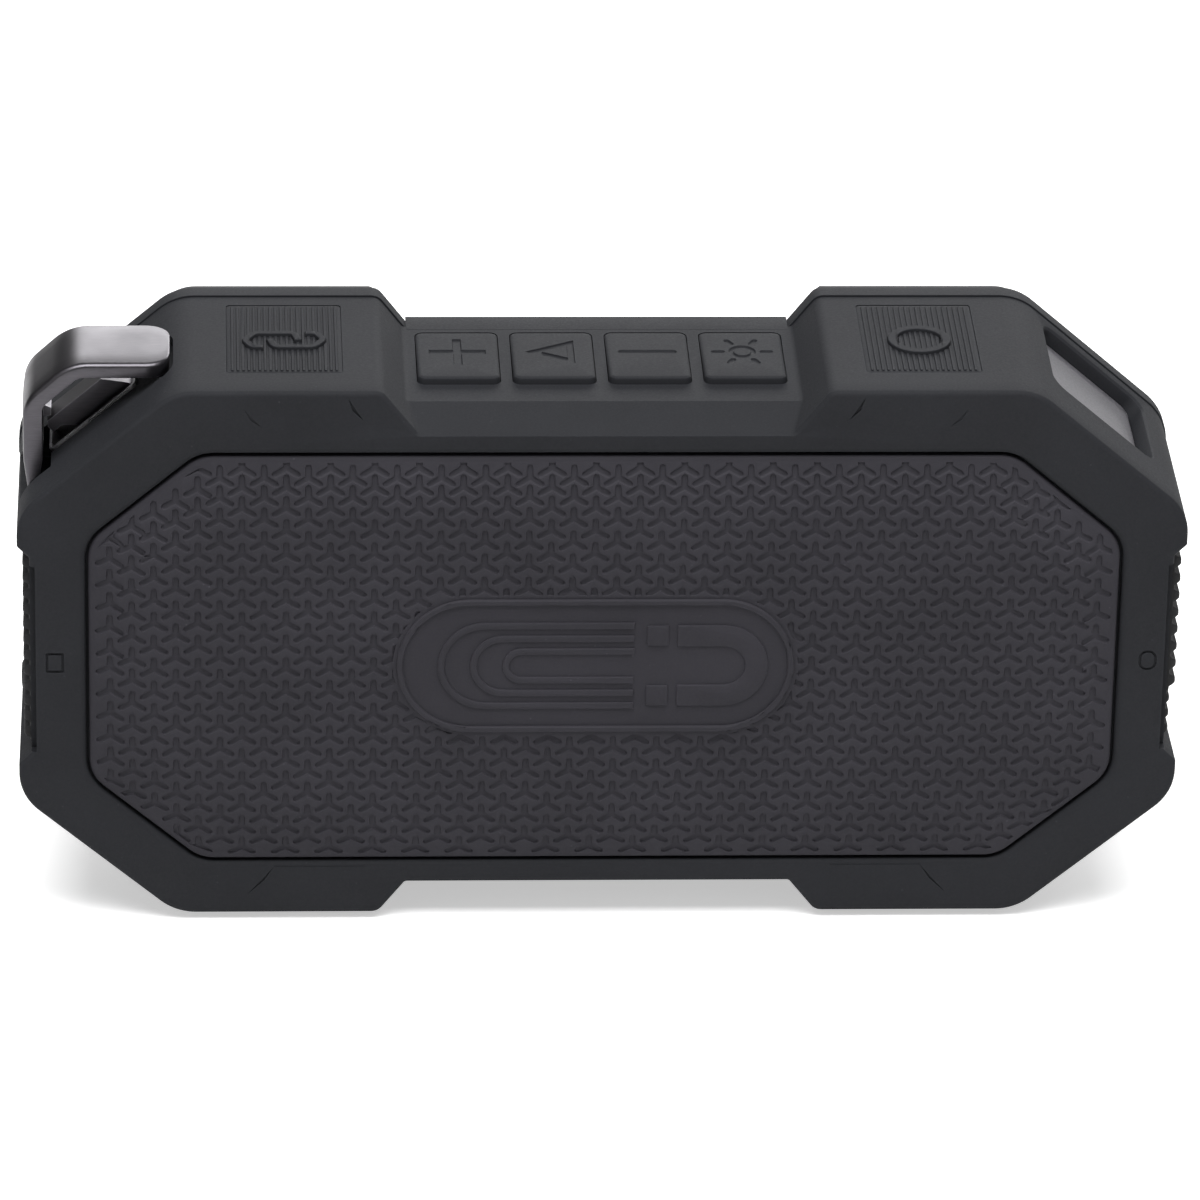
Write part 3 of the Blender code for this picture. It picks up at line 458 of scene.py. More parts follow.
def round_edges(piece, width):
    step = piece.modifiers.new("edges", "BEVEL")
    step.width = width * MM
    step.segments = 2
    step.limit_method = "ANGLE"
    step.angle_limit = radians(40)
    step.use_clamp_overlap = True


# ---- relief sheets

def relief_sheet(outline, shapes, pick):
    """Flat triangulated sheet inside an outline, from a list of (kind, outline) shapes.

    pick(kinds) names the region of a face that lies inside shapes of those kinds. Returns the
    bmesh, the vertices of the outline in order and the faces of every region.
    """
    points = []
    loops = []
    for shape in [outline] + [shape for _kind, shape in shapes]:
        loop = list(range(len(points), len(points) + len(shape)))
        turning = sum(a[0] * b[1] - b[0] * a[1] for a, b in zip(shape, shape[1:] + shape[:1]))
        loops.append(loop if turning > 0 else loop[::-1])
        points += [Vector(p) for p in shape]
    verts, _edges, faces, from_verts, _from_edges, from_faces = delaunay_2d_cdt(
        points, [], loops, 1, 1e-5)
    bm = bmesh.new()
    made = [bm.verts.new((v.x, v.y, 0.0)) for v in verts]
    regions = {}
    for face, sources in zip(faces, from_faces):
        if 0 not in sources:
            continue
        kinds = {shapes[s - 1][0] for s in sources if s > 0}
        new = bm.faces.new([made[i] for i in face])
        regions.setdefault(pick(kinds), []).append(new)
    order = {}
    for i, sources in enumerate(from_verts):
        for s in sources:
            order[s] = made[i]
    rim = [order[k] for k in range(len(outline))]
    bm.normal_update()
    return bm, rim, regions


def press(bm, faces, steps):
    """Sink (or raise) a region in several (width, depth) steps of slope."""
    for width, depth in steps:
        bmesh.ops.inset_region(bm, faces=faces, thickness=width, depth=depth,
                               use_even_offset=False, use_boundary=True)


def settle(bm, put):
    """Move a flat relief sheet into place: put(u, v, height above the sheet)."""
    for vert in bm.verts:
        vert.co = put(vert.co.x, vert.co.y, vert.co.z)


def skirt(bm, rim, levels, put):
    """Close a settled sheet with rings of (outline, level) below its rim."""
    row = rim
    for outline, level in levels:
        ring = [bm.verts.new(put(p[0], level, p[1])) for p in outline]
        join_rows(bm, row, ring)
        row = ring
    bm.faces.new(row)


# ---- materials

def fill(tree, node, inputs):
    """Set inputs of a node, or link them where another node's output is given."""
    for name, value in inputs.items():
        if isinstance(value, bpy.types.NodeSocket):
            tree.links.new(value, node.inputs[name])
        else:
            node.inputs[name].default_value = value


def add(tree, kind, inputs, **settings):
    node = tree.nodes.new("ShaderNode" + kind)
    for name, value in settings.items():
        setattr(node, name, value)
    fill(tree, node, inputs)
    return node


def make_material(name, recipe, *values):
    """Material whose Principled shader gets the inputs that a recipe returns."""
    material = bpy.data.materials.new(name)
    material.use_nodes = True
    tree = material.node_tree
    where = add(tree, "TexCoord", {}).outputs["Object"]
    fill(tree, tree.nodes["Principled BSDF"], recipe(tree, where, *values))
    return material


def noise(tree, where, scale, detail=3.0, roughness=0.55):
    return add(tree, "TexNoise", {"Vector": where, "Scale": scale, "Detail": detail,
                                  "Roughness": roughness}).outputs["Fac"]


def times(tree, a, b):
    return add(tree, "Math", {0: a, 1: b}, operation="MULTIPLY").outputs["Value"]


def spread(tree, value, low, high, start=0.3, end=0.7):
    """Map start..end of a value onto low..high."""
    return add(tree, "MapRange", {"Value": value, "From Min": start, "From Max": end,
                                  "To Min": low, "To Max": high}).outputs["Result"]


def mix_colour(tree, factor, a, b):
    return add(tree, "Mix", {0: factor, 6: a, 7: b}, data_type="RGBA").outputs[2]


def shade(colour, factor):
    return tuple(min(c * factor, 1.0) for c in colour) + (1.0,)


def clouded(tree, cloud, colour, low, high):
    """The colour, between low and high times as bright."""
    return mix_colour(tree, spread(tree, cloud, 0.0, 1.0), shade(colour, low), shade(colour, high))


def edge_mask(tree, radius):
    """One near sharp edges and zero on open faces."""
    soft = add(tree, "Bevel", {"Radius": radius * MM}, samples=4).outputs["Normal"]
    plain = add(tree, "NewGeometry", {}).outputs["Normal"]
    match = add(tree, "VectorMath", {0: soft, 1: plain}, operation="DOT_PRODUCT").outputs["Value"]
    return spread(tree, match, 1.0, 0.0, 0.80, 0.985)


def bumps(tree, heights):
    """Chain of bump nodes from (height, strength, distance in mm)."""
    normal = None
    for height, strength, distance in heights:
        values = {"Height": height, "Strength": strength, "Distance": distance * MM}
        if normal is not None:
            values["Normal"] = normal
        normal = add(tree, "Bump", values).outputs["Normal"]
    return normal


def painted_recess_shade_mask(tree, reach):
    """Zero deep in narrow recesses and one on open faces; it sets where painted shade falls."""
    depth = add(tree, "AmbientOcclusion", {"Distance": reach * MM}, samples=6, only_local=True)
    return spread(tree, depth.outputs["AO"], 0.0, 1.0, 0.35, 0.95)


def rubber(tree, where, colour, roughness, grain, sheen, wear_and_highlight=1.5, specks=0.5, recess_shade_factor=0.6):
    """Moulded rubber: fine grain, cloudy tone, edges lighter as wear and painted highlight, a little dust,
    painted shade in recesses.
    """
    cloud = noise(tree, where, 45.0, 4.0)
    fine = noise(tree, where, grain, 4.0, 0.65)
    medium = noise(tree, where, grain * 0.28, 3.0)
    base = clouded(tree, cloud, colour, 0.90, 1.10)
    # edges painted lighter: partly wear, partly a painted highlight on the edges
    rubbed_and_lit_edges = times(tree, edge_mask(tree, 0.5), spread(tree, cloud, 0.25, 0.9))
    base = mix_colour(tree, rubbed_and_lit_edges, base, shade(colour, wear_and_highlight))
    dust = add(tree, "TexVoronoi", {"Vector": where, "Scale": 620.0, "Randomness": 1.0})
    speck = spread(tree, dust.outputs["Distance"], specks, 0.0, 0.05, 0.14)
    rare = spread(tree, noise(tree, where, 260.0, 2.0), 0.0, 1.0, 0.55, 0.68)
    base = mix_colour(tree, times(tree, speck, rare), base, shade(colour, 2.6))
    # painted shade: recesses darkened from ambient occlusion
    if recess_shade_factor < 1.0:
        base = mix_colour(tree, painted_recess_shade_mask(tree, 0.9), shade(colour, recess_shade_factor), base)
    return {"Base Color": base,
            "Roughness": spread(tree, fine, roughness - 0.07, roughness + 0.08),
            "Sheen Weight": sheen,
            "Sheen Roughness": 0.5,
            "Specular IOR Level": 0.22,
            "Normal": bumps(tree, ((medium, 0.25, 0.05), (fine, 0.45, 0.035)))}


def brushed(tree, where, colour, roughness, along=(1.0, 14.0, 14.0), stroke=0.35, wear_and_highlight=1.7):
    """Metal with fine strokes, brighter edges as wear and painted highlight, and slightly uneven gloss."""
    stretched = add(tree, "Mapping", {"Vector": where, "Scale": along}).outputs["Vector"]
    strokes = noise(tree, stretched, 420.0, 5.0, 0.7)
    cloud = noise(tree, where, 90.0, 3.0)
    grit = noise(tree, where, 3800.0, 2.0)
    base = clouded(tree, strokes, colour, 0.86, 1.10)
    # edges painted brighter: partly wear, partly a painted highlight
    return {"Base Color": mix_colour(tree, edge_mask(tree, 0.3), base, shade(colour, wear_and_highlight)),
            "Metallic": 1.0,
            "Roughness": spread(tree, cloud, roughness - 0.05, roughness + 0.07),
            "Normal": bumps(tree, ((strokes, stroke, 0.02), (grit, 0.15, 0.015)))}


def moulded(tree, where, colour, roughness, grain=1500.0, strength=0.2, coat=0.0):
    """Hard plastic, card, wrap or sintered pieces, told apart by grain and gloss."""
    fine = noise(tree, where, grain, 3.0)
    base = clouded(tree, noise(tree, where, 70.0, 3.0), colour, 0.85, 1.15)
    # edges painted lighter: partly wear, partly a painted highlight
    return {"Base Color": mix_colour(tree, edge_mask(tree, 0.3), base, shade(colour, 1.6)),
            "Roughness": spread(tree, fine, roughness - 0.06, roughness + 0.08),
            "Coat Weight": coat,
            "Normal": bumps(tree, ((fine, strength, 0.04),))}


def woven(tree, where, colour, pitch):
    """Open weave: crossing waves set both height and tone."""
    waves = [add(tree, "TexWave", {"Vector": where, "Scale": pi / pitch / 10.0, "Distortion": 0.4,
                                   "Detail": 1.0}, bands_direction=direction).outputs["Fac"]
             for direction in ("X", "Z")]
    weave = times(tree, *waves)
    return {"Base Color": mix_colour(tree, weave, shade(colour, 0.4), shade(colour, 1.6)),
            "Roughness": 0.9,
            "Sheen Weight": 0.2,
            "Normal": bumps(tree, ((weave, 0.6, 0.1),))}


def circuit(tree, where, colour):
    """Solder mask with faint copper runs beneath it."""
    black, white = (0, 0, 0, 1), (1, 1, 1, 1)
    runs = add(tree, "TexBrick", {"Vector": where, "Scale": 160.0, "Mortar Size": 0.06, "Color1": black,
                                  "Color2": black, "Mortar": white}).outputs["Color"]
    return {"Base Color": mix_colour(tree, runs, shade(colour, 1.0), shade(colour, 1.9)),
            "Roughness": spread(tree, noise(tree, where, 900.0), 0.3, 0.45),
            "Normal": bumps(tree, ((runs, 0.2, 0.04),))}


def frosted(tree, where, colour):
    """Milky window: light spreads under a finely etched face."""
    etched = noise(tree, where, 2400.0, 3.0)
    return {"Base Color": clouded(tree, noise(tree, where, 55.0, 2.0), colour, 0.95, 1.04),
            "Roughness": spread(tree, etched, 0.30, 0.42),
            "Subsurface Weight": 0.35,
            "Subsurface Radius": (1.0, 1.0, 1.0),
            "Subsurface Scale": 1.5 * MM,
            "Normal": bumps(tree, ((etched, 0.18, 0.02),))}


def pale(tree, where):
    """Studio floor that looks as bright as the background to the camera."""
    seen = add(tree, "LightPath", {}).outputs["Is Camera Ray"]
    return {"Base Color": clouded(tree, noise(tree, where, 3.0), (0.91, 0.91, 0.91), 0.995, 1.005),
            "Roughness": 0.9,
            "Specular IOR Level": 0.1,
            "Emission Color": (1, 1, 1, 1),
            "Emission Strength": times(tree, seen, 0.5)}


EVEN = (1.0, 1.0, 1.0)           # strokes in no direction
# rubber: colour, roughness, grain, sheen, edge lift for wear and painted highlight, dust specks, painted
# recess shade
FINISH = {name: make_material(name, *recipe) for name, recipe in {
    "housing_rubber": (rubber, (0.0172, 0.0180, 0.0212), 0.74, 2600.0, 0.0),
    "panel_rubber": (rubber, (0.031, 0.0295, 0.036), 0.74, 2200.0, 0.0, 1.3, 0.5, 1.0),
    "soft_rubber": (rubber, (0.016, 0.016, 0.017), 0.72, 1800.0, 0.1, 1.6, 0.2),
    "grille_metal": (brushed, (0.075, 0.077, 0.082), 0.42, EVEN, 0.1),
    # 3.2 paints strong bright edges on the hook: wear and a painted highlight
    "hook_metal": (brushed, (0.105, 0.10, 0.11), 0.33, (1.0, 14.0, 14.0), 0.35, 3.2),
    "steel": (brushed, (0.56, 0.56, 0.57), 0.28),
    "magnet_nickel": (brushed, (0.52, 0.50, 0.46), 0.22, EVEN, 0.08),
    "ferrite": (moulded, (0.035, 0.035, 0.038), 0.6, 900.0, 0.4),
    "black_plastic": (moulded, (0.020, 0.020, 0.022), 0.48),
    "paper_cone": (moulded, (0.030, 0.030, 0.032), 0.85, 500.0, 0.5),
    "lens": (frosted, (0.112, 0.109, 0.12)),
    "board_green": (circuit, (0.012, 0.075, 0.035)),
    "cell_wrap": (moulded, (0.03, 0.16, 0.38), 0.34, 300.0, 0.1, 0.5),
    "mesh_cloth": (woven, (0.016, 0.016, 0.017), 0.4 * MM),
}.items()}


# ---- housing

def cut_keys(shell):
    for node in DECK_KEYS:
        x, y, half_x, half_y = middle_half(node)
        hole = box_outline(half_x - KEY_FLANGE + KEY_GAP, half_y - KEY_FLANGE + KEY_GAP, 1.5, x, y)
        cut(shell, prism(hole, DECK_UNDER_Z, HALF_HEIGHT, up_point))
    for node in PADS:
        x, y, half_x, half_y = middle_half(node)
        seat = box_outline(half_x + 0.05, half_y + 0.05, 0.65, x, y)
        well = box_outline(3.0, 3.0, 0.5, x, y)
        cut(shell, prism(seat, HALF_HEIGHT - PAD_DEPTH, HALF_HEIGHT + 1, up_point))
        cut(shell, prism(well, DECK_UNDER_Z, HALF_HEIGHT - 1.5, up_point))


def cut_lamp_pocket(shell):
    put = on_chamfer(1, CHAMFER_START)
    half_t, half_y = LAMP_HALF

    def mouth(d):
        return box_outline(half_t + d, half_y + d, 2.6 + d, LAMP_T, LAMP_Y, 8)

    floor = LENS_FACE - LENS_THICK - GAP
    flare = ((0.0, floor), (0.0, -0.9), (0.12, -0.45), (0.45, -0.1), (0.8, 0.05), (0.8, 5.0))
    cut(shell, cutter([(mouth(d), h) for d, h in flare], put))
    well = box_outline(7.5, 7.7, 1.0, LAMP_T, LAMP_Y)
    cut(shell, prism(well, -14.0, floor + 1.0, put))


def cut_hook_pockets(shell):
    """Slot for the gate's liner, recess for the hook's free tip and seat for its round end."""
    slot = box_outline(9.5, 5.4, 0.8, 6.9, SLOT_Y)
    cut(shell, prism(slot, -3.9, 8.0, on_chamfer(-1, PIVOT)))
    half = HOOK_HALF + 0.5
    cut(shell, block((HOOK_X - 3, HOOK_Y - half, 24.2), (HOOK_X + 4.6, HOOK_Y + half, 36)))
    seat = box_outline(9.5, half, 4.4, HOOK_X + 14.9, HOOK_Y, 8)
    cut(shell, prism(seat, HALF_HEIGHT - 2.7, HALF_HEIGHT + 2, up_point))


def cut_side_recesses(shell):
    """Recesses for the ribbed strips, each with a shallow step in the ring beside it, and socket holes."""
    for side, low, high in ((-1, GRIP_LOW, GRIP_HIGH), (1, PORT_GRIP_LOW, COVER_HIGH)):
        cut(shell, block((side * RECESS_X, GRIP_LOW.y - GAP, low.z - GAP),
                         (side * (HALF_WIDTH + 3), GRIP_HIGH.y + GAP, high.z + GAP)))
        cut(shell, block((side * (SIDE_X - 0.9), RING_Y - 1, low.z - 0.8),
                         (side * (SIDE_X + 0.1), RING_Y + 2.2, high.z - 0.5)))
    port = box_outline(5.2, 2.3, 2.0, PORT_Z, SOCKET_Y)
    jack = circle(2.9, JACK_Z, SOCKET_Y, 24)
    for socket in (port, jack):
        cut(shell, prism(socket, RECESS_X - 5.5, RECESS_X + 1.5, side_point))


def cut_ring_facets(shell):
    """Slanted nicks in the ring face of every bumper and a fine line inside the lower two."""
    inner = [(41.6, 46.0), (39.2, 42.2), (40.9, 43.8)]
    outer = [(58.3, 44.0), (55.6, 41.0), (57.3, 42.2)]
    lower = [(53.4, -38.5), (57.6, -43.4), (55.0, -41.0)]
    line = bar(38.5, -38.3, 53.2, -38.3, 0.3)
    for side in (-1, 1):
        for shape, depth in ((inner, 0.26), (outer, 0.1), (lower, 0.2), (line, 0.12)):
            cut(shell, prism([(side * x, z) for x, z in shape], RING_Y - 2, RING_Y + depth))


def cut_ring_marks(shell):
    """A small plain mark on the ring at each side of the panel: one square and one rounded outline."""
    for x, radius in ((-89.0, 0.3), (89.4, 1.4)):
        levels = []
        for d, y in ((0.0, RING_Y - 1), (0.0, RING_Y + 0.25), (0.45, RING_Y + 0.25), (0.45, RING_Y - 1)):
            levels.append((box_outline(1.5 - d, 1.8 - d, max(radius - d, 0.15), x, -1.0), y))
        cut(shell, cutter(levels, place, True))


def add_deck_lips(shell):
    """Thin edges of the key decks, above and below, that overhang the bezel between its ramps."""
    low = WAIST_Z - BEZEL_DROP + 0.55

    def put(z, x, y):
        grow = (abs(z) - low) * RAMP
        return place(x + (grow if x > 0 else -grow), y, z)

    for side in (-1, 1):
        outline = [(low, PARTING_Y - 1), (WAIST_Z, PARTING_Y - 1), (WAIST_Z, LIP_Y - 0.35),
                   (WAIST_Z - 0.1, LIP_Y - 0.1), (WAIST_Z - 0.35, LIP_Y), (low, LIP_Y)]
        lip = [(side * z, y) for z, y in outline]
        join(shell, prism(lip, 1.0 - WAIST_FOOT_X, WAIST_FOOT_X - 1.0, put))


def add_posts(shell):
    """Four screw posts for the baffle and four low ones for the battery tray."""
    for x in (-SCREW_X, SCREW_X):
        for z in (-SCREW_Z, SCREW_Z):
            join(shell, prism(circle(3.4, x, z, 24), CAVITY_Y - 1, 12.7))
            cut(shell, prism(circle(1.6, x, z, 16), 2.0, 15.0))
    for x in (-67, -30):
        for z in (-27, 27):
            join(shell, prism(circle(2.2, x, z, 16), CAVITY_Y - 1, -12.9))


def rear_housing():
    turns = [pi / 2 * k / 5 for k in range(6)]
    levels = [(RING_R * (1 - sin(a)), RING_Y + RING_R * (1 - cos(a))) for a in turns]
    end = PARTING_Y - PARTING_GAP / 2
    levels += [(0.0, RING_Y + 4), (0.0, DECK_EDGE_Y), (0.0, 0.0), (0.0, end - 0.06), (0.06, end)]
    bm = loft([(shell_outline(d, y), y) for d, y in levels])
    shell = raw_piece("rear_shell", bm)
    pocket = ((0.0, PANEL_SEAT_Y), (0.0, RING_Y + 0.95), (-0.16, RING_Y + 0.52), (-0.52, RING_Y + 0.18),
              (-1.1, RING_Y - 0.02), (-1.2, RING_Y - 5))
    cut(shell, cutter([(panel_outline(d), y) for d, y in pocket]))
    cut(shell, prism(cavity_outline(), CAVITY_Y, CAVITY_END_Y))
    add_posts(shell)
    seal = ((0.8, SEAL_Y), (0.8, SEAL_Y + 2.7), (2.3, SEAL_Y + 2.7), (2.3, SEAL_Y))
    cut(shell, cutter([(shell_outline(d, SHELL_END_Y), y) for d, y in seal], place, True))
    add_deck_lips(shell)
    cut_keys(shell)
    cut_lamp_pocket(shell)
    cut_hook_pockets(shell)
    cut_side_recesses(shell)
    cut_ring_facets(shell)
    cut_ring_marks(shell)
    dress(shell, "housing_rubber", "rear_housing", SHELL_SHARP)
    for y, z in ((DECK_EDGE_Y, 38), (RING_Y + RING_R, 36)):
        crease(shell, lambda p: abs(p.y - y) < 0.01 and abs(p.x) < WAIST_TOP_X and abs(p.z) > z)


def front_bezel():
    start = PARTING_Y + PARTING_GAP / 2
    levels = ((-0.19, start), (-0.25, start + 0.06), (-0.25, 15.4), (-0.1, 16.2), (0.25, 16.9),
              (2.3, 22.3), (2.7, 23.2), (3.3, 23.9), (4.1, FRONT_Y))
    bm = loft([(shell_outline(d, SHELL_END_Y, BEZEL_DROP), y) for d, y in levels])
    bezel = raw_piece("bezel_frame", bm)
    for outline, low, high in ((cavity_outline(GAP), 10, 16), (opening_outline(), 14, 23),
                               (opening_outline(-1.0), 22, 30)):
        cut(bezel, prism(outline, low, high))
    dress(bezel, "housing_rubber", "front_bezel", SHELL_SHARP)


# ---- rear panel

def edge_distance(x, z, half, corner, k=0.96):
    """Distance inwards from an octagon's edge, smooth over its corners."""
    run = Vector((half[0] - corner[0], corner[1] - half[1])).normalized()
    out = Vector((-run.y, run.x))
    ahead = Vector((corner[0], half[1])).dot(out)
    x, z = abs(x), abs(z)
    gaps = (half[0] - x, half[1] - z, ahead - Vector((x, z)).dot(out))
    return -log(sum(exp(-k * g) for g in gaps)) / k


def panel_margin(x, z):
    return edge_distance(x - PANEL_X, z - PANEL_Z, PANEL_HALF, PANEL_CORNER)


def crown(x, z):
    """Depth of the panel's face: flat in the middle, falling away to its edge."""
    d = panel_margin(x, z)
    s = min(max((d - 1.0) / CROWN_REACH, 0.0), 1.0)
    return PANEL_EDGE_Y + (PANEL_FLAT_Y - PANEL_EDGE_Y) * (1 - (1 - s) ** 2)


def inside_rim(x, z):
    """Pull a point of the tread back onto the panel's face when it lies beyond the edge."""
    h = 0.05
    for _ in range(12):
        short = TREAD_MARGIN - panel_margin(x, z)
        if short <= 0:
            break
        slope_x = (panel_margin(x + h, z) - panel_margin(x - h, z)) / (2 * h)
        slope_z = (panel_margin(x, z + h) - panel_margin(x, z - h)) / (2 * h)
        x += slope_x * (short + 0.01)
        z += slope_z * (short + 0.01)
    return x, z


def star(x, z):
    """Three-armed recess: one arm up, two arms down to the sides, round ends."""
    points = []
    r = STAR_ARM / 2
    drop = STAR_SIDE * STAR_DROP
    for tip in ((0.0, STAR_UP), (STAR_SIDE, -drop), (-STAR_SIDE, -drop)):
        inward = 1 - r / hypot(*tip)
        a = atan2(*tip)
        cx, cz = tip[0] * inward, tip[1] * inward
        for k in range(5):
            turn = a - pi / 2 + pi * k / 4
            points.append((x + cx + r * sin(turn), z + cz + r * cos(turn)))
        crook = a + pi / 3
        inner = r / sin(pi / 3)
        points.append((x + inner * sin(crook), z + inner * cos(crook)))
    return [inside_rim(*p) for p in points]


def tread():
    """Stars on a lattice whose neighbouring columns are half a step apart."""
    stars = []
    columns = int(PANEL_HALF[0] / STAR_PITCH[0])
    rows = int(PANEL_HALF[1] / STAR_PITCH[1]) + 1
    for i in range(-columns - 1, columns + 1):
        for j in range(-rows, rows + 1):
            x = STAR_START[0] + i * STAR_PITCH[0]
            z = STAR_START[1] + (j + 0.5 * (i % 2)) * STAR_PITCH[1]
            if z > 0:
                z -= STAR_RISE * (crown(x, z) - PANEL_FLAT_Y)
            reach = max(abs(x - BADGE_X) - (BADGE_HALF[0] - BADGE_HALF[1]), 0)
            to_badge = hypot(reach, z - BADGE_Z) - BADGE_HALF[1]
            if panel_margin(x, z) > STAR_MARGIN and to_badge > BADGE_CLEAR:
                stars.append(("star", star(x, z)))
    return stars


def badge(d):
    """Level stadium, d inside the badge's edge."""
    sides = 56
    reach = BADGE_HALF[0] - BADGE_HALF[1]
    r = BADGE_HALF[1] - d
    turns = [2 * pi * (k + 0.5) / sides for k in range(sides)]
    return [(BADGE_X + r * sin(a) + (reach if sin(a) > 0 else -reach), BADGE_Z + r * cos(a))
            for a in turns]


def horseshoe():
    """Plain horseshoe magnet that opens to the left, with two square pole tips."""
    outer, inner, left, bend = 7.25, 3.5, 13.3, 20.95
    arc = [pi * k / 14 for k in range(15)]
    shape = [(left, outer)]
    shape += [(bend + outer * sin(a), outer * cos(a)) for a in arc]
    shape += [(left, -outer), (left, -inner)]
    shape += [(bend + inner * sin(a), inner * cos(a)) for a in reversed(arc)]
    shape.append((left, inner))
    tips = [box_outline(1.8, 1.8, 0.25, 10.1, side * 5.4, 2) for side in (-1, 1)]
    return [shape] + tips


def field_lines():
    """Plain curved lines from one pole tip to the other, in place of any words."""
    lines = []
    start, width = 6.3, 1.15
    for rise, bend in ((2.6, -12.0), (4.9, -15.0), (7.2, -18.0)):
        arc = [(bend - rise * sin(pi * k / 20), rise * cos(pi * k / 20)) for k in range(21)]
        lines.append(band([(start, rise)] + arc + [(start, -rise)], width))
    return lines


def magnet_panel():
    rim_line = panel_outline(1.15)
    shapes = [("badge", badge(-0.55)), ("rim", badge(0.0)), ("field", badge(BADGE_RIM))]
    shapes += tread()
    for shape in horseshoe() + field_lines():
        shapes.append(("mark", [(x + BADGE_X, z + BADGE_Z) for x, z in shape]))

    def pick(kinds):
        if "mark" in kinds:
            return "mark"
        if "rim" in kinds and "field" not in kinds:
            return "rim"
        if "star" in kinds and "badge" not in kinds:
            return "star"
        return "land"

    bm, rim, regions = relief_sheet(rim_line, shapes, pick)
    press(bm, regions["star"], ((0.07, -0.03), (0.07, -0.16), (0.07, -0.12), (0.05, -0.03)))
    press(bm, regions["rim"], ((0.05, 0.36), (0.16, 0.12)))
    press(bm, regions["mark"], ((0.05, 0.24), (0.12, 0.08)))
    settle(bm, lambda u, v, w: place(u, crown(u, v) - w, v))
    edge = ((0.9, 0.05), (0.68, 0.2), (0.55, 0.45), (PANEL_INSET, 0.8))
    rings = [(panel_outline(d), PANEL_EDGE_Y + y) for d, y in edge]
    skirt(bm, rim, rings + [(panel_outline(PANEL_INSET), PANEL_HIGH.y)], place)
    dress(raw_piece("tread_panel", bm), "panel_rubber", "magnet_panel", 36)


# ---- keys

def shell_height(base, y):
    """Height of the tapered shell's surface whose full height is base."""
    return base * (1 - TAPER * (SHELL_END_Y - y) / (SHELL_END_Y - RING_Y))


def plus_icon(x, y):
    s, w = 4.7, 0.75
    half = [(-w, s), (w, s), (w, w), (s, w), (s, -w), (w, -w)]
    return [("icon", [(x + turn * px, y + turn * py) for turn in (1, -1) for px, py in half])]


def minus_icon(x, y):
    return [("icon", bar(x - 4.2, y, x + 4.2, y, 1.4))]


def play_icon(x, y):
    return [("icon", [(x - 4.6, y), (x + 3.6, y + 4.2), (x + 3.6, y - 4.2)]),
            ("core", [(x - 1.6, y), (x + 2.4, y + 2.1), (x + 2.4, y - 2.1)])]


def light_icon(x, y):
    shapes = [("icon", circle(2.3, x, y, 24)), ("core", circle(1.3, x, y, 20))]
    for k in range(6):
        a = pi / 2 + k * pi / 3
        (x0, y0), (x1, y1) = ((x + r * sin(a), y + r * cos(a)) for r in (3.3, 4.6))
        shapes.append(("icon", bar(x0, y0, x1, y1, 1.1)))
    return shapes


def pick_icon(kinds):
    """An icon's lines are what lies inside it but outside its core."""
    if "icon" in kinds and "core" not in kinds:
        return "icon"
    return "rib" if "rib" in kinds else "land"


def deck_key(node, icons):
    x, y, half_x, half_y = middle_half(node)
    half_x, half_y = half_x - KEY_FLANGE, half_y - KEY_FLANGE
    near = shell_height(WAIST_Z, y - half_y) + 1.2
    far = shell_height(WAIST_Z, y + half_y) + 0.04

    def share(py):
        """One at the near edge and zero at the far edge."""
        return (y + half_y - py) / (2 * half_y)

    def top(py):
        return far + (near - far) * share(py)

    def put(px, z, py):
        """Levels above the foot follow the sloping top and its rounding fades towards the far edge."""
        return place(px, py, z if z < 40 else top(py) - (near - z) * (0.35 + 0.65 * share(py)))

    def outline(d, r):
        return box_outline(half_x - d, half_y - d, r, x, y, 6)

    def tall(shape):
        """Icons sit a little back on the key and are stretched along its depth."""
        return [(px, y + 1.4 + (py - y) * 1.2) for px, py in shape]

    shapes = [(kind, tall(shape)) for kind, shape in icons(x, y)]
    bm, rim, regions = relief_sheet(outline(0.75, 0.7), shapes, pick_icon)
    press(bm, regions["icon"], ((0.10, -0.08), (0.08, -0.16), (0.06, -0.03)))
    settle(bm, lambda u, v, w: place(u, v, top(v) + w))
    rings = [(outline(0.42, 0.95), near - 0.06), (outline(0.16, 1.15), near - 0.25),
             (outline(0.0, 1.3), near - 0.6), (outline(0.0, 1.3), KEY_FOOT_Z),
             (outline(-KEY_FLANGE, 0.9), KEY_FOOT_Z), (outline(-KEY_FLANGE, 0.9), box_mm(node)[0].z)]
    skirt(bm, rim, rings, put)
    dress(raw_piece(node + "_cap", bm), "housing_rubber", node, 30, node)


def link_icon(x, y):
    """Two open links that hook into each other without touching."""
    link = fillet_path([(2.3, -0.3, 0), (1.6, 2.6, 1.2), (-4.8, 2.6, 1.6), (-6.4, -0.1, 1.6),
                        (-5.2, -2.6, 1.2), (-3.4, -2.6, 0)], 6)
    return [("icon", [(x + turn * px, y + turn * py) for px, py in band(link, 1.3)])
            for turn in (-1, 1)]


def ring_icon(x, y):
    return [("icon", circle(5.2, x, y, 56)), ("core", circle(3.6, x, y, 48))]


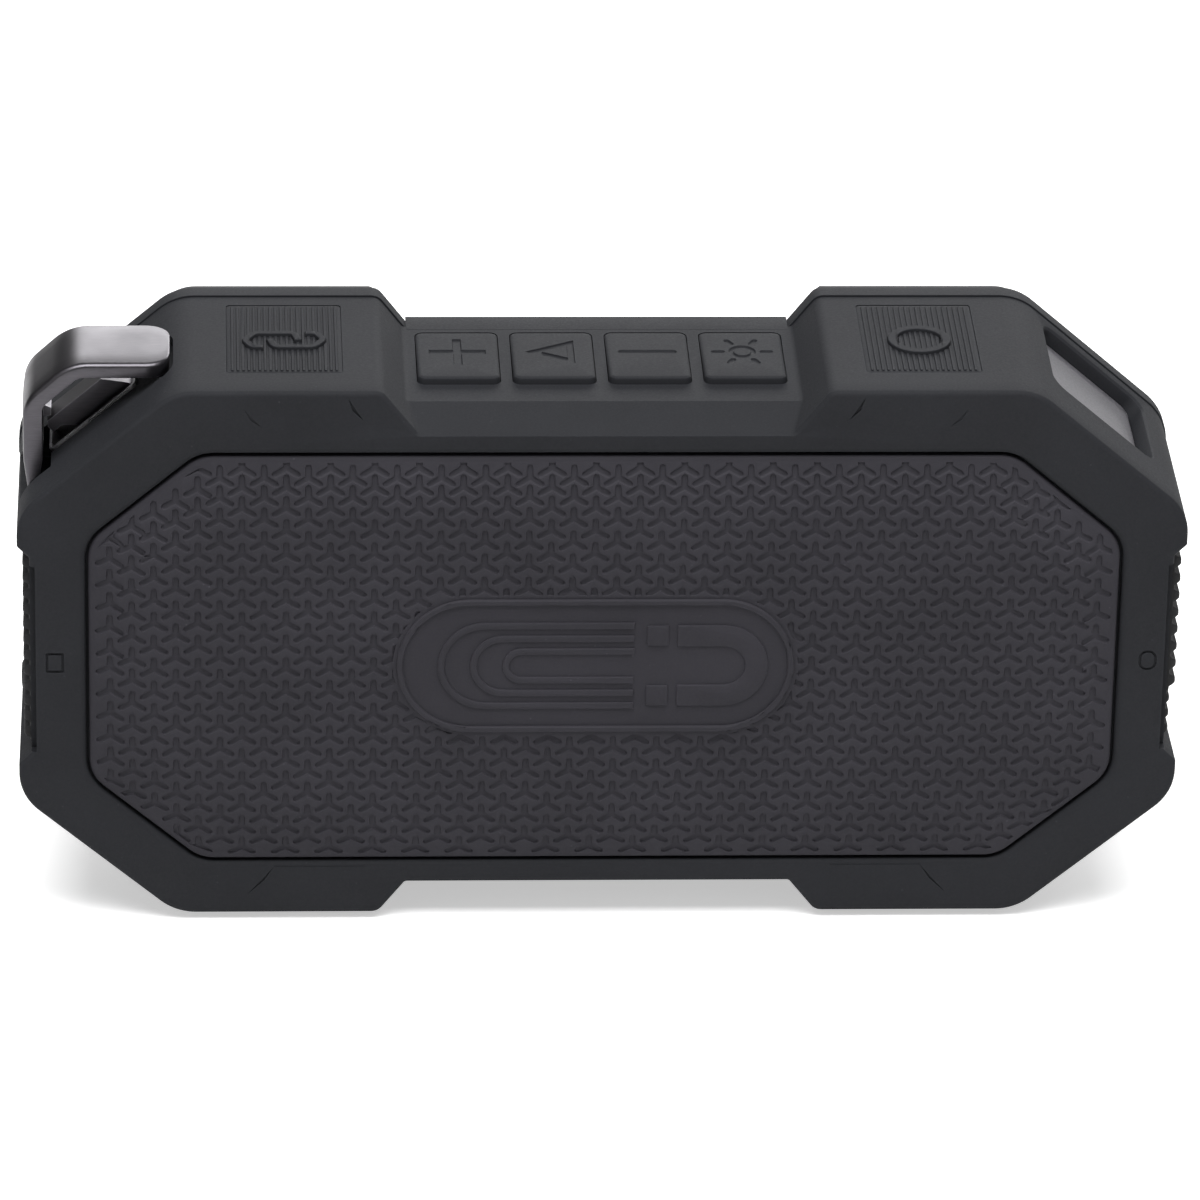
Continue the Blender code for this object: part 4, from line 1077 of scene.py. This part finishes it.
def ribbed_pad(node, icons):
    x, y, half_x, half_y = middle_half(node)
    ribs = 20
    pitch = 2 * (half_x - 0.5) / ribs

    def surface(py):
        return shell_height(HALF_HEIGHT, py) - 0.06

    def put(px, z, py):
        """Levels from zero down follow the tapered surface; a level above it is the stem's end."""
        return place(px, py, z + (surface(py) if z <= 0 else 0.0))

    shapes = [("rib", box_outline(pitch * 0.28, half_y - 0.7, 0.2, x + (k - (ribs - 1) / 2) * pitch, y, 2))
              for k in range(ribs)]
    bm, rim, regions = relief_sheet(box_outline(half_x - 0.2, half_y - 0.2, 0.5, x, y),
                                    shapes + icons(x, y - 1.1), pick_icon)
    press(bm, regions["rib"], ((0.05, 0.16), (0.05, 0.04)))
    press(bm, regions["icon"], ((0.12, 0.50), (0.12, 0.08)))
    settle(bm, lambda u, v, w: place(u, v, surface(v) + w))
    side = box_outline(half_x, half_y, 0.6, x, y)
    stem = box_outline(1.8, 1.8, 0.3, x, y)
    skirt(bm, rim, [(side, -0.1), (side, -1.6), (stem, -1.6), (stem, box_mm(node)[0].z)], put)
    dress(raw_piece(node + "_cap", bm), "housing_rubber", node, 30, node)


# ---- corner hook

# left half of the band's section: share of its half width, share of its thickness
HOOK_SECTION = ((-0.975, 0.0), (-0.993, 0.03), (-1.0, 0.10), (-1.0, 0.72), (-0.992, 0.80), (-0.955, 0.90),
                (-0.93, 0.935), (-0.89, 0.955), (-0.5, 0.99), (0.0, 1.0))


def carabiner_hook():
    """Flat band bent over the corner: round end on the top flat, free tip at the side."""
    top, thick, leg = HALF_HEIGHT + 0.15, 2.6, HOOK_X
    root, radius = leg + 19.8, 4.0
    outer = fillet_path([(root, top, 0), (leg + 7.4, top, 9.0), (leg, 41.3, 6.5), (leg, 31.0, 9.0),
                         (leg + 0.8, 25.4, 0)])
    inner = fillet_path([(root, top - thick, 0), (leg + 9.17, top - thick, 2.6), (leg + 3.3, 40.43, 2.2),
                         (leg + 3.3, 31.0, 6.0), (leg + 2.3, 25.4, 0)])
    section = HOOK_SECTION + tuple((-f, t) for f, t in reversed(HOOK_SECTION[:-1]))
    stations = []
    for k in range(9):
        a = pi / 2 * k / 8
        x = root + radius * cos(a)
        stations.append(((x, top), (x, top - thick), HOOK_HALF - radius + radius * sin(a)))
    stations += [(o, i, HOOK_HALF) for o, i in zip(outer[1:], inner[1:])]
    bm = bmesh.new()
    rows = []
    for (ox, oz), (ix, iz), wide in stations:
        row = []
        for f, t in section:
            narrow = (f > 0) - (f < 0)
            y = HOOK_Y + f * HOOK_HALF - narrow * (HOOK_HALF - wide)
            row.append(bm.verts.new(place(ix + (ox - ix) * t, y, iz + (oz - iz) * t)))
        rows.append(row)
    close_rows(bm, rows)
    hook = raw_piece("hook_band", bm)
    tang = box_outline(1.5, 4.0, 0.4, leg + 22.1, HOOK_Y)
    join(hook, prism(tang, top - 4.1, top - 1.4, up_point))
    lip = [(leg + 2.7, 38.0), (leg + 4.6, 37.1), (leg + 4.6, 35.75), (leg + 2.7, 35.3)]
    join(hook, prism(lip, GATE_LOW.y, GATE_HIGH.y))
    dress(hook, "hook_metal", "carabiner_hook", 40)


def gate_spring():
    """Coil of wire round the pin beside the gate."""
    low, high = box_mm("gate_spring")
    x, z = (low.x + high.x) / 2, (low.z + high.z) / 2
    coil_r, wire_r, turns, per_turn, sides, end = 1.28, 0.16, 2.25, 16, 8, 0.2
    total = int(turns * per_turn)
    bm = bmesh.new()
    rows = []
    for k in range(total + 1):
        a = 2 * pi * k / per_turn
        out = Vector((sin(a), 0, cos(a)))
        y = low.y + end + (high.y - low.y - 2 * end) * k / total
        centre = Vector((x, y, z)) + out * coil_r
        row = []
        for i in range(sides):
            b = 2 * pi * i / sides
            side = out * cos(b) + Vector((0, 1, 0)) * sin(b)
            row.append(bm.verts.new(place(*(centre + side * wire_r))))
        rows.append(row)
    close_rows(bm, rows)
    dress(raw_piece("spring_coil", bm), "steel", "gate_spring", 50)


# ---- corner lamp

def lamp_lens():
    """Frosted window, slightly domed, with a rounded rim."""
    half_t, half_y = LENS_HALF
    levels = [(0.0, -LENS_THICK), (0.0, -0.45), (0.12, -0.2), (0.4, -0.07), (0.9, -0.02), (2.5, 0.03),
              (5.0, 0.06)]
    outlines = [(box_outline(half_t - d, half_y - d, max(2.0 - 0.3 * d, 0.4), LENS_T, LAMP_Y, 6),
                 LENS_FACE + h) for d, h in levels]
    lens = raw_piece("lamp_window", loft(outlines, on_chamfer(1, CHAMFER_START)))
    dress(lens, "lens", "lamp_lens", 50)


# ---- side pieces

def rib_profile(z_low, z_high, ribs, base, tip):
    """Wavy outer line of a ribbed strip as (z, x) points."""
    pitch = (z_high - z_low) / ribs
    rise = [(-0.40, 0.0), (-0.33, 0.25), (-0.26, 0.72), (-0.19, 0.94), (-0.1, 1.0)]
    wave = rise + [(-f, lift) for f, lift in reversed(rise)]
    points = [(z_low, base)]
    for k in range(ribs):
        z = z_low + (k + 0.5) * pitch
        points += [(z + f * pitch, base + (tip - base) * lift) for f, lift in wave]
    return points + [(z_high, base)]


def ribbed_strip(name, node, side, ribs, base, tip, z_low):
    """Strip whose ribs run along the depth and sink into its flat ends."""
    z_high = box_mm(node)[1].z
    line = rib_profile(z_low, z_high, ribs, base, tip)
    mids = [(z, base + (x - base) * 0.7) for z, x in line]
    plain = [(z, min(x, base) - 0.15) for z, x in line]

    def section(points):
        back = side * (RECESS_X + GAP)
        return [(side * x, z) for z, x in points] + [(back, z_high), (back, z_low)]

    ends = ((plain, 0.0), (plain, 0.54), (mids, 0.72), (line, 1.08))
    levels = [(section(points), GRIP_LOW.y + y) for points, y in ends]
    levels += [(section(points), GRIP_HIGH.y - y) for points, y in reversed(ends)]
    return raw_piece(name, loft(levels))


def side_strips():
    grip = ribbed_strip("grip_strip", "grip_insert", -1, 12, 93.2, 94.2, GRIP_LOW.z)
    dress(grip, "soft_rubber", "grip_insert", 40)
    strip = ribbed_strip("port_strip", "port_grip", 1, 3, 93.0, 93.8, PORT_GRIP_LOW.z)
    dress(strip, "soft_rubber", "port_grip", 40)
    flap = ribbed_strip("port_flap", "port_cover", 1, 8, 93.6, 94.6, FLAP_LOW_Z)
    plug = box_outline(3.7, 1.2, 1.0, PORT_Z, SOCKET_Y)
    join(flap, prism(plug, RECESS_X - 1.4, RECESS_X + 0.9, side_point))
    dress(flap, "soft_rubber", "port_cover", 40, "port_cover")


# ---- front grille

def grille_bulge(x, z):
    """Depth of the grille's back: flat border, then a soft rise towards the middle."""
    half = [size + 1 for size in OPENING_HALF]
    corner = [size + 0.5 for size in OPENING_CORNER]
    s = min(max((edge_distance(x, z, half, corner, 1.2) - 1.4) / 12.0, 0.0), 1.0)
    return GRILLE_Y + 1.9 * (1 - (1 - s) ** 2)


def front_grille():
    """Perforated sheet with a plain border."""
    pitch, hole_r, border = 3.0, 0.92, 3.4
    row_pitch = pitch * 0.866
    holes = []
    rows = int(OPENING_HALF[1] / row_pitch) + 1
    columns = int(OPENING_HALF[0] / pitch) + 1
    for j in range(-rows, rows + 1):
        for i in range(-columns, columns + 1):
            x = (i + 0.5 * (j % 2)) * pitch
            z = j * row_pitch
            if edge_distance(x, z, OPENING_HALF, OPENING_CORNER, 1.2) > border:
                holes.append(("hole", circle(hole_r, x, z, 10)))
    folds = [("fold", opening_outline(d)) for d in (1.2, 2.2)]
    bm, _rim, regions = relief_sheet(opening_outline(0.4), folds + holes,
                                     lambda kinds: "hole" if "hole" in kinds else "land")
    bmesh.ops.delete(bm, geom=regions["hole"], context="FACES")
    settle(bm, lambda u, v, w: place(u, grille_bulge(u, v), v))
    bm.normal_update()
    bmesh.ops.solidify(bm, geom=bm.faces[:], thickness=0.5 * MM)
    rim = ((0.4, 0.0), (0.0, -0.05), (-0.3, -0.3), (-0.6, -0.8), (-0.6, -1.7), (0.6, -1.7), (0.6, -0.4))
    loft_into(bm, [(opening_outline(d), GRILLE_Y + y) for d, y in rim], place, True)
    dress(raw_piece("grille_sheet", bm), "grille_metal", "front_grille", 30)


# ---- carried-over CAD nodes

def finish_nodes():
    """Give every CAD node that still shows its finish and softened edges."""
    for node, piece in frame["nodes"].items():
        if piece.hide_render:
            continue
        wanted = piece.material_slots[0].material.name.split(".")[0]
        if node == "gate_liner":
            wanted = "steel"
        for slot in piece.material_slots:
            slot.material = FINISH.get(wanted, FINISH["black_plastic"])
        round_edges(piece, 0.22 if node.startswith(("gate", "carabiner")) else 0.3)


# ---- studio

def floor():
    size = 6.0
    mesh = bpy.data.meshes.new("floor")
    corners = [(-size, -size, 0), (size, -size, 0), (size, size, 0), (-size, size, 0)]
    mesh.from_pydata(corners, [], [(0, 1, 2, 3)])
    mesh.materials.append(make_material("studio_floor", pale))
    ground = new_object("floor", mesh)
    ground.location.z = CAD_LOW.z


def area_light(name, position, size, power):
    """Rectangular light in metres that points at the middle of the body."""
    data = bpy.data.lights.new(name, "AREA")
    data.shape = "RECTANGLE"
    data.size, data.size_y = size
    data.energy = power
    lamp = new_object(name, data)
    lamp.location = position
    lamp.rotation_euler = (Vector((0, 0, MID_Z)) - Vector(position)).to_track_quat("-Z", "Y").to_euler()


def lights():
    area_light("overhead", (0.0, -0.36, 1.3), (1.4, 0.8), 27)
    area_light("key_left", (-1.1, -0.9, 0.9), (0.8, 0.8), 1.2)
    area_light("fill_right", (1.2, -0.8, 0.6), (0.8, 0.8), 0.6)
    area_light("rim_back", (0.3, 1.4, 0.6), (1.4, 0.6), 13)


def world():
    """Faint light from all around, and a nearly white background for the camera."""
    sky = bpy.data.worlds.new("studio")
    bpy.context.scene.world = sky
    sky.use_nodes = True
    tree = sky.node_tree
    dim = tree.nodes["Background"]
    dim.inputs["Color"].default_value = (1, 1, 1, 1)
    dim.inputs["Strength"].default_value = 0.12
    bright = add(tree, "Background", {"Strength": 0.97}).outputs["Background"]
    seen = add(tree, "LightPath", {}).outputs["Is Camera Ray"]
    both = add(tree, "MixShader", {0: seen, 1: dim.outputs["Background"], 2: bright}).outputs["Shader"]
    tree.links.new(both, tree.nodes["World Output"].inputs["Surface"])
    bpy.context.scene.view_settings.view_transform = "Standard"


def camera():
    """Long lens, level apart from a slight roll, at the photo's angle."""
    yaw, elevation, roll = radians(3.117), radians(25.467), radians(1.216)
    distance = 1.369
    target = place(0.806, 0.0, -1.322)
    data = bpy.data.cameras.new("camera")
    data.lens = 247.84
    view = new_object("camera", data)
    look = Vector((sin(yaw) * cos(elevation), cos(yaw) * cos(elevation), -sin(elevation)))
    view.location = target - look * distance
    view.rotation_mode = "QUATERNION"
    level = look.to_track_quat("-Z", "Y")
    view.rotation_quaternion = Matrix.Rotation(-roll, 3, look).to_quaternion() @ level
    bpy.context.scene.camera = view


def build():
    rear_housing()
    front_bezel()
    magnet_panel()
    for node, icons in zip(DECK_KEYS, (plus_icon, play_icon, minus_icon, light_icon)):
        deck_key(node, icons)
    for node, icons in zip(PADS, (link_icon, ring_icon)):
        ribbed_pad(node, icons)
    carabiner_hook()
    gate_spring()
    lamp_lens()
    side_strips()
    front_grille()
    finish_nodes()
    floor()
    lights()
    world()
    camera()


build()
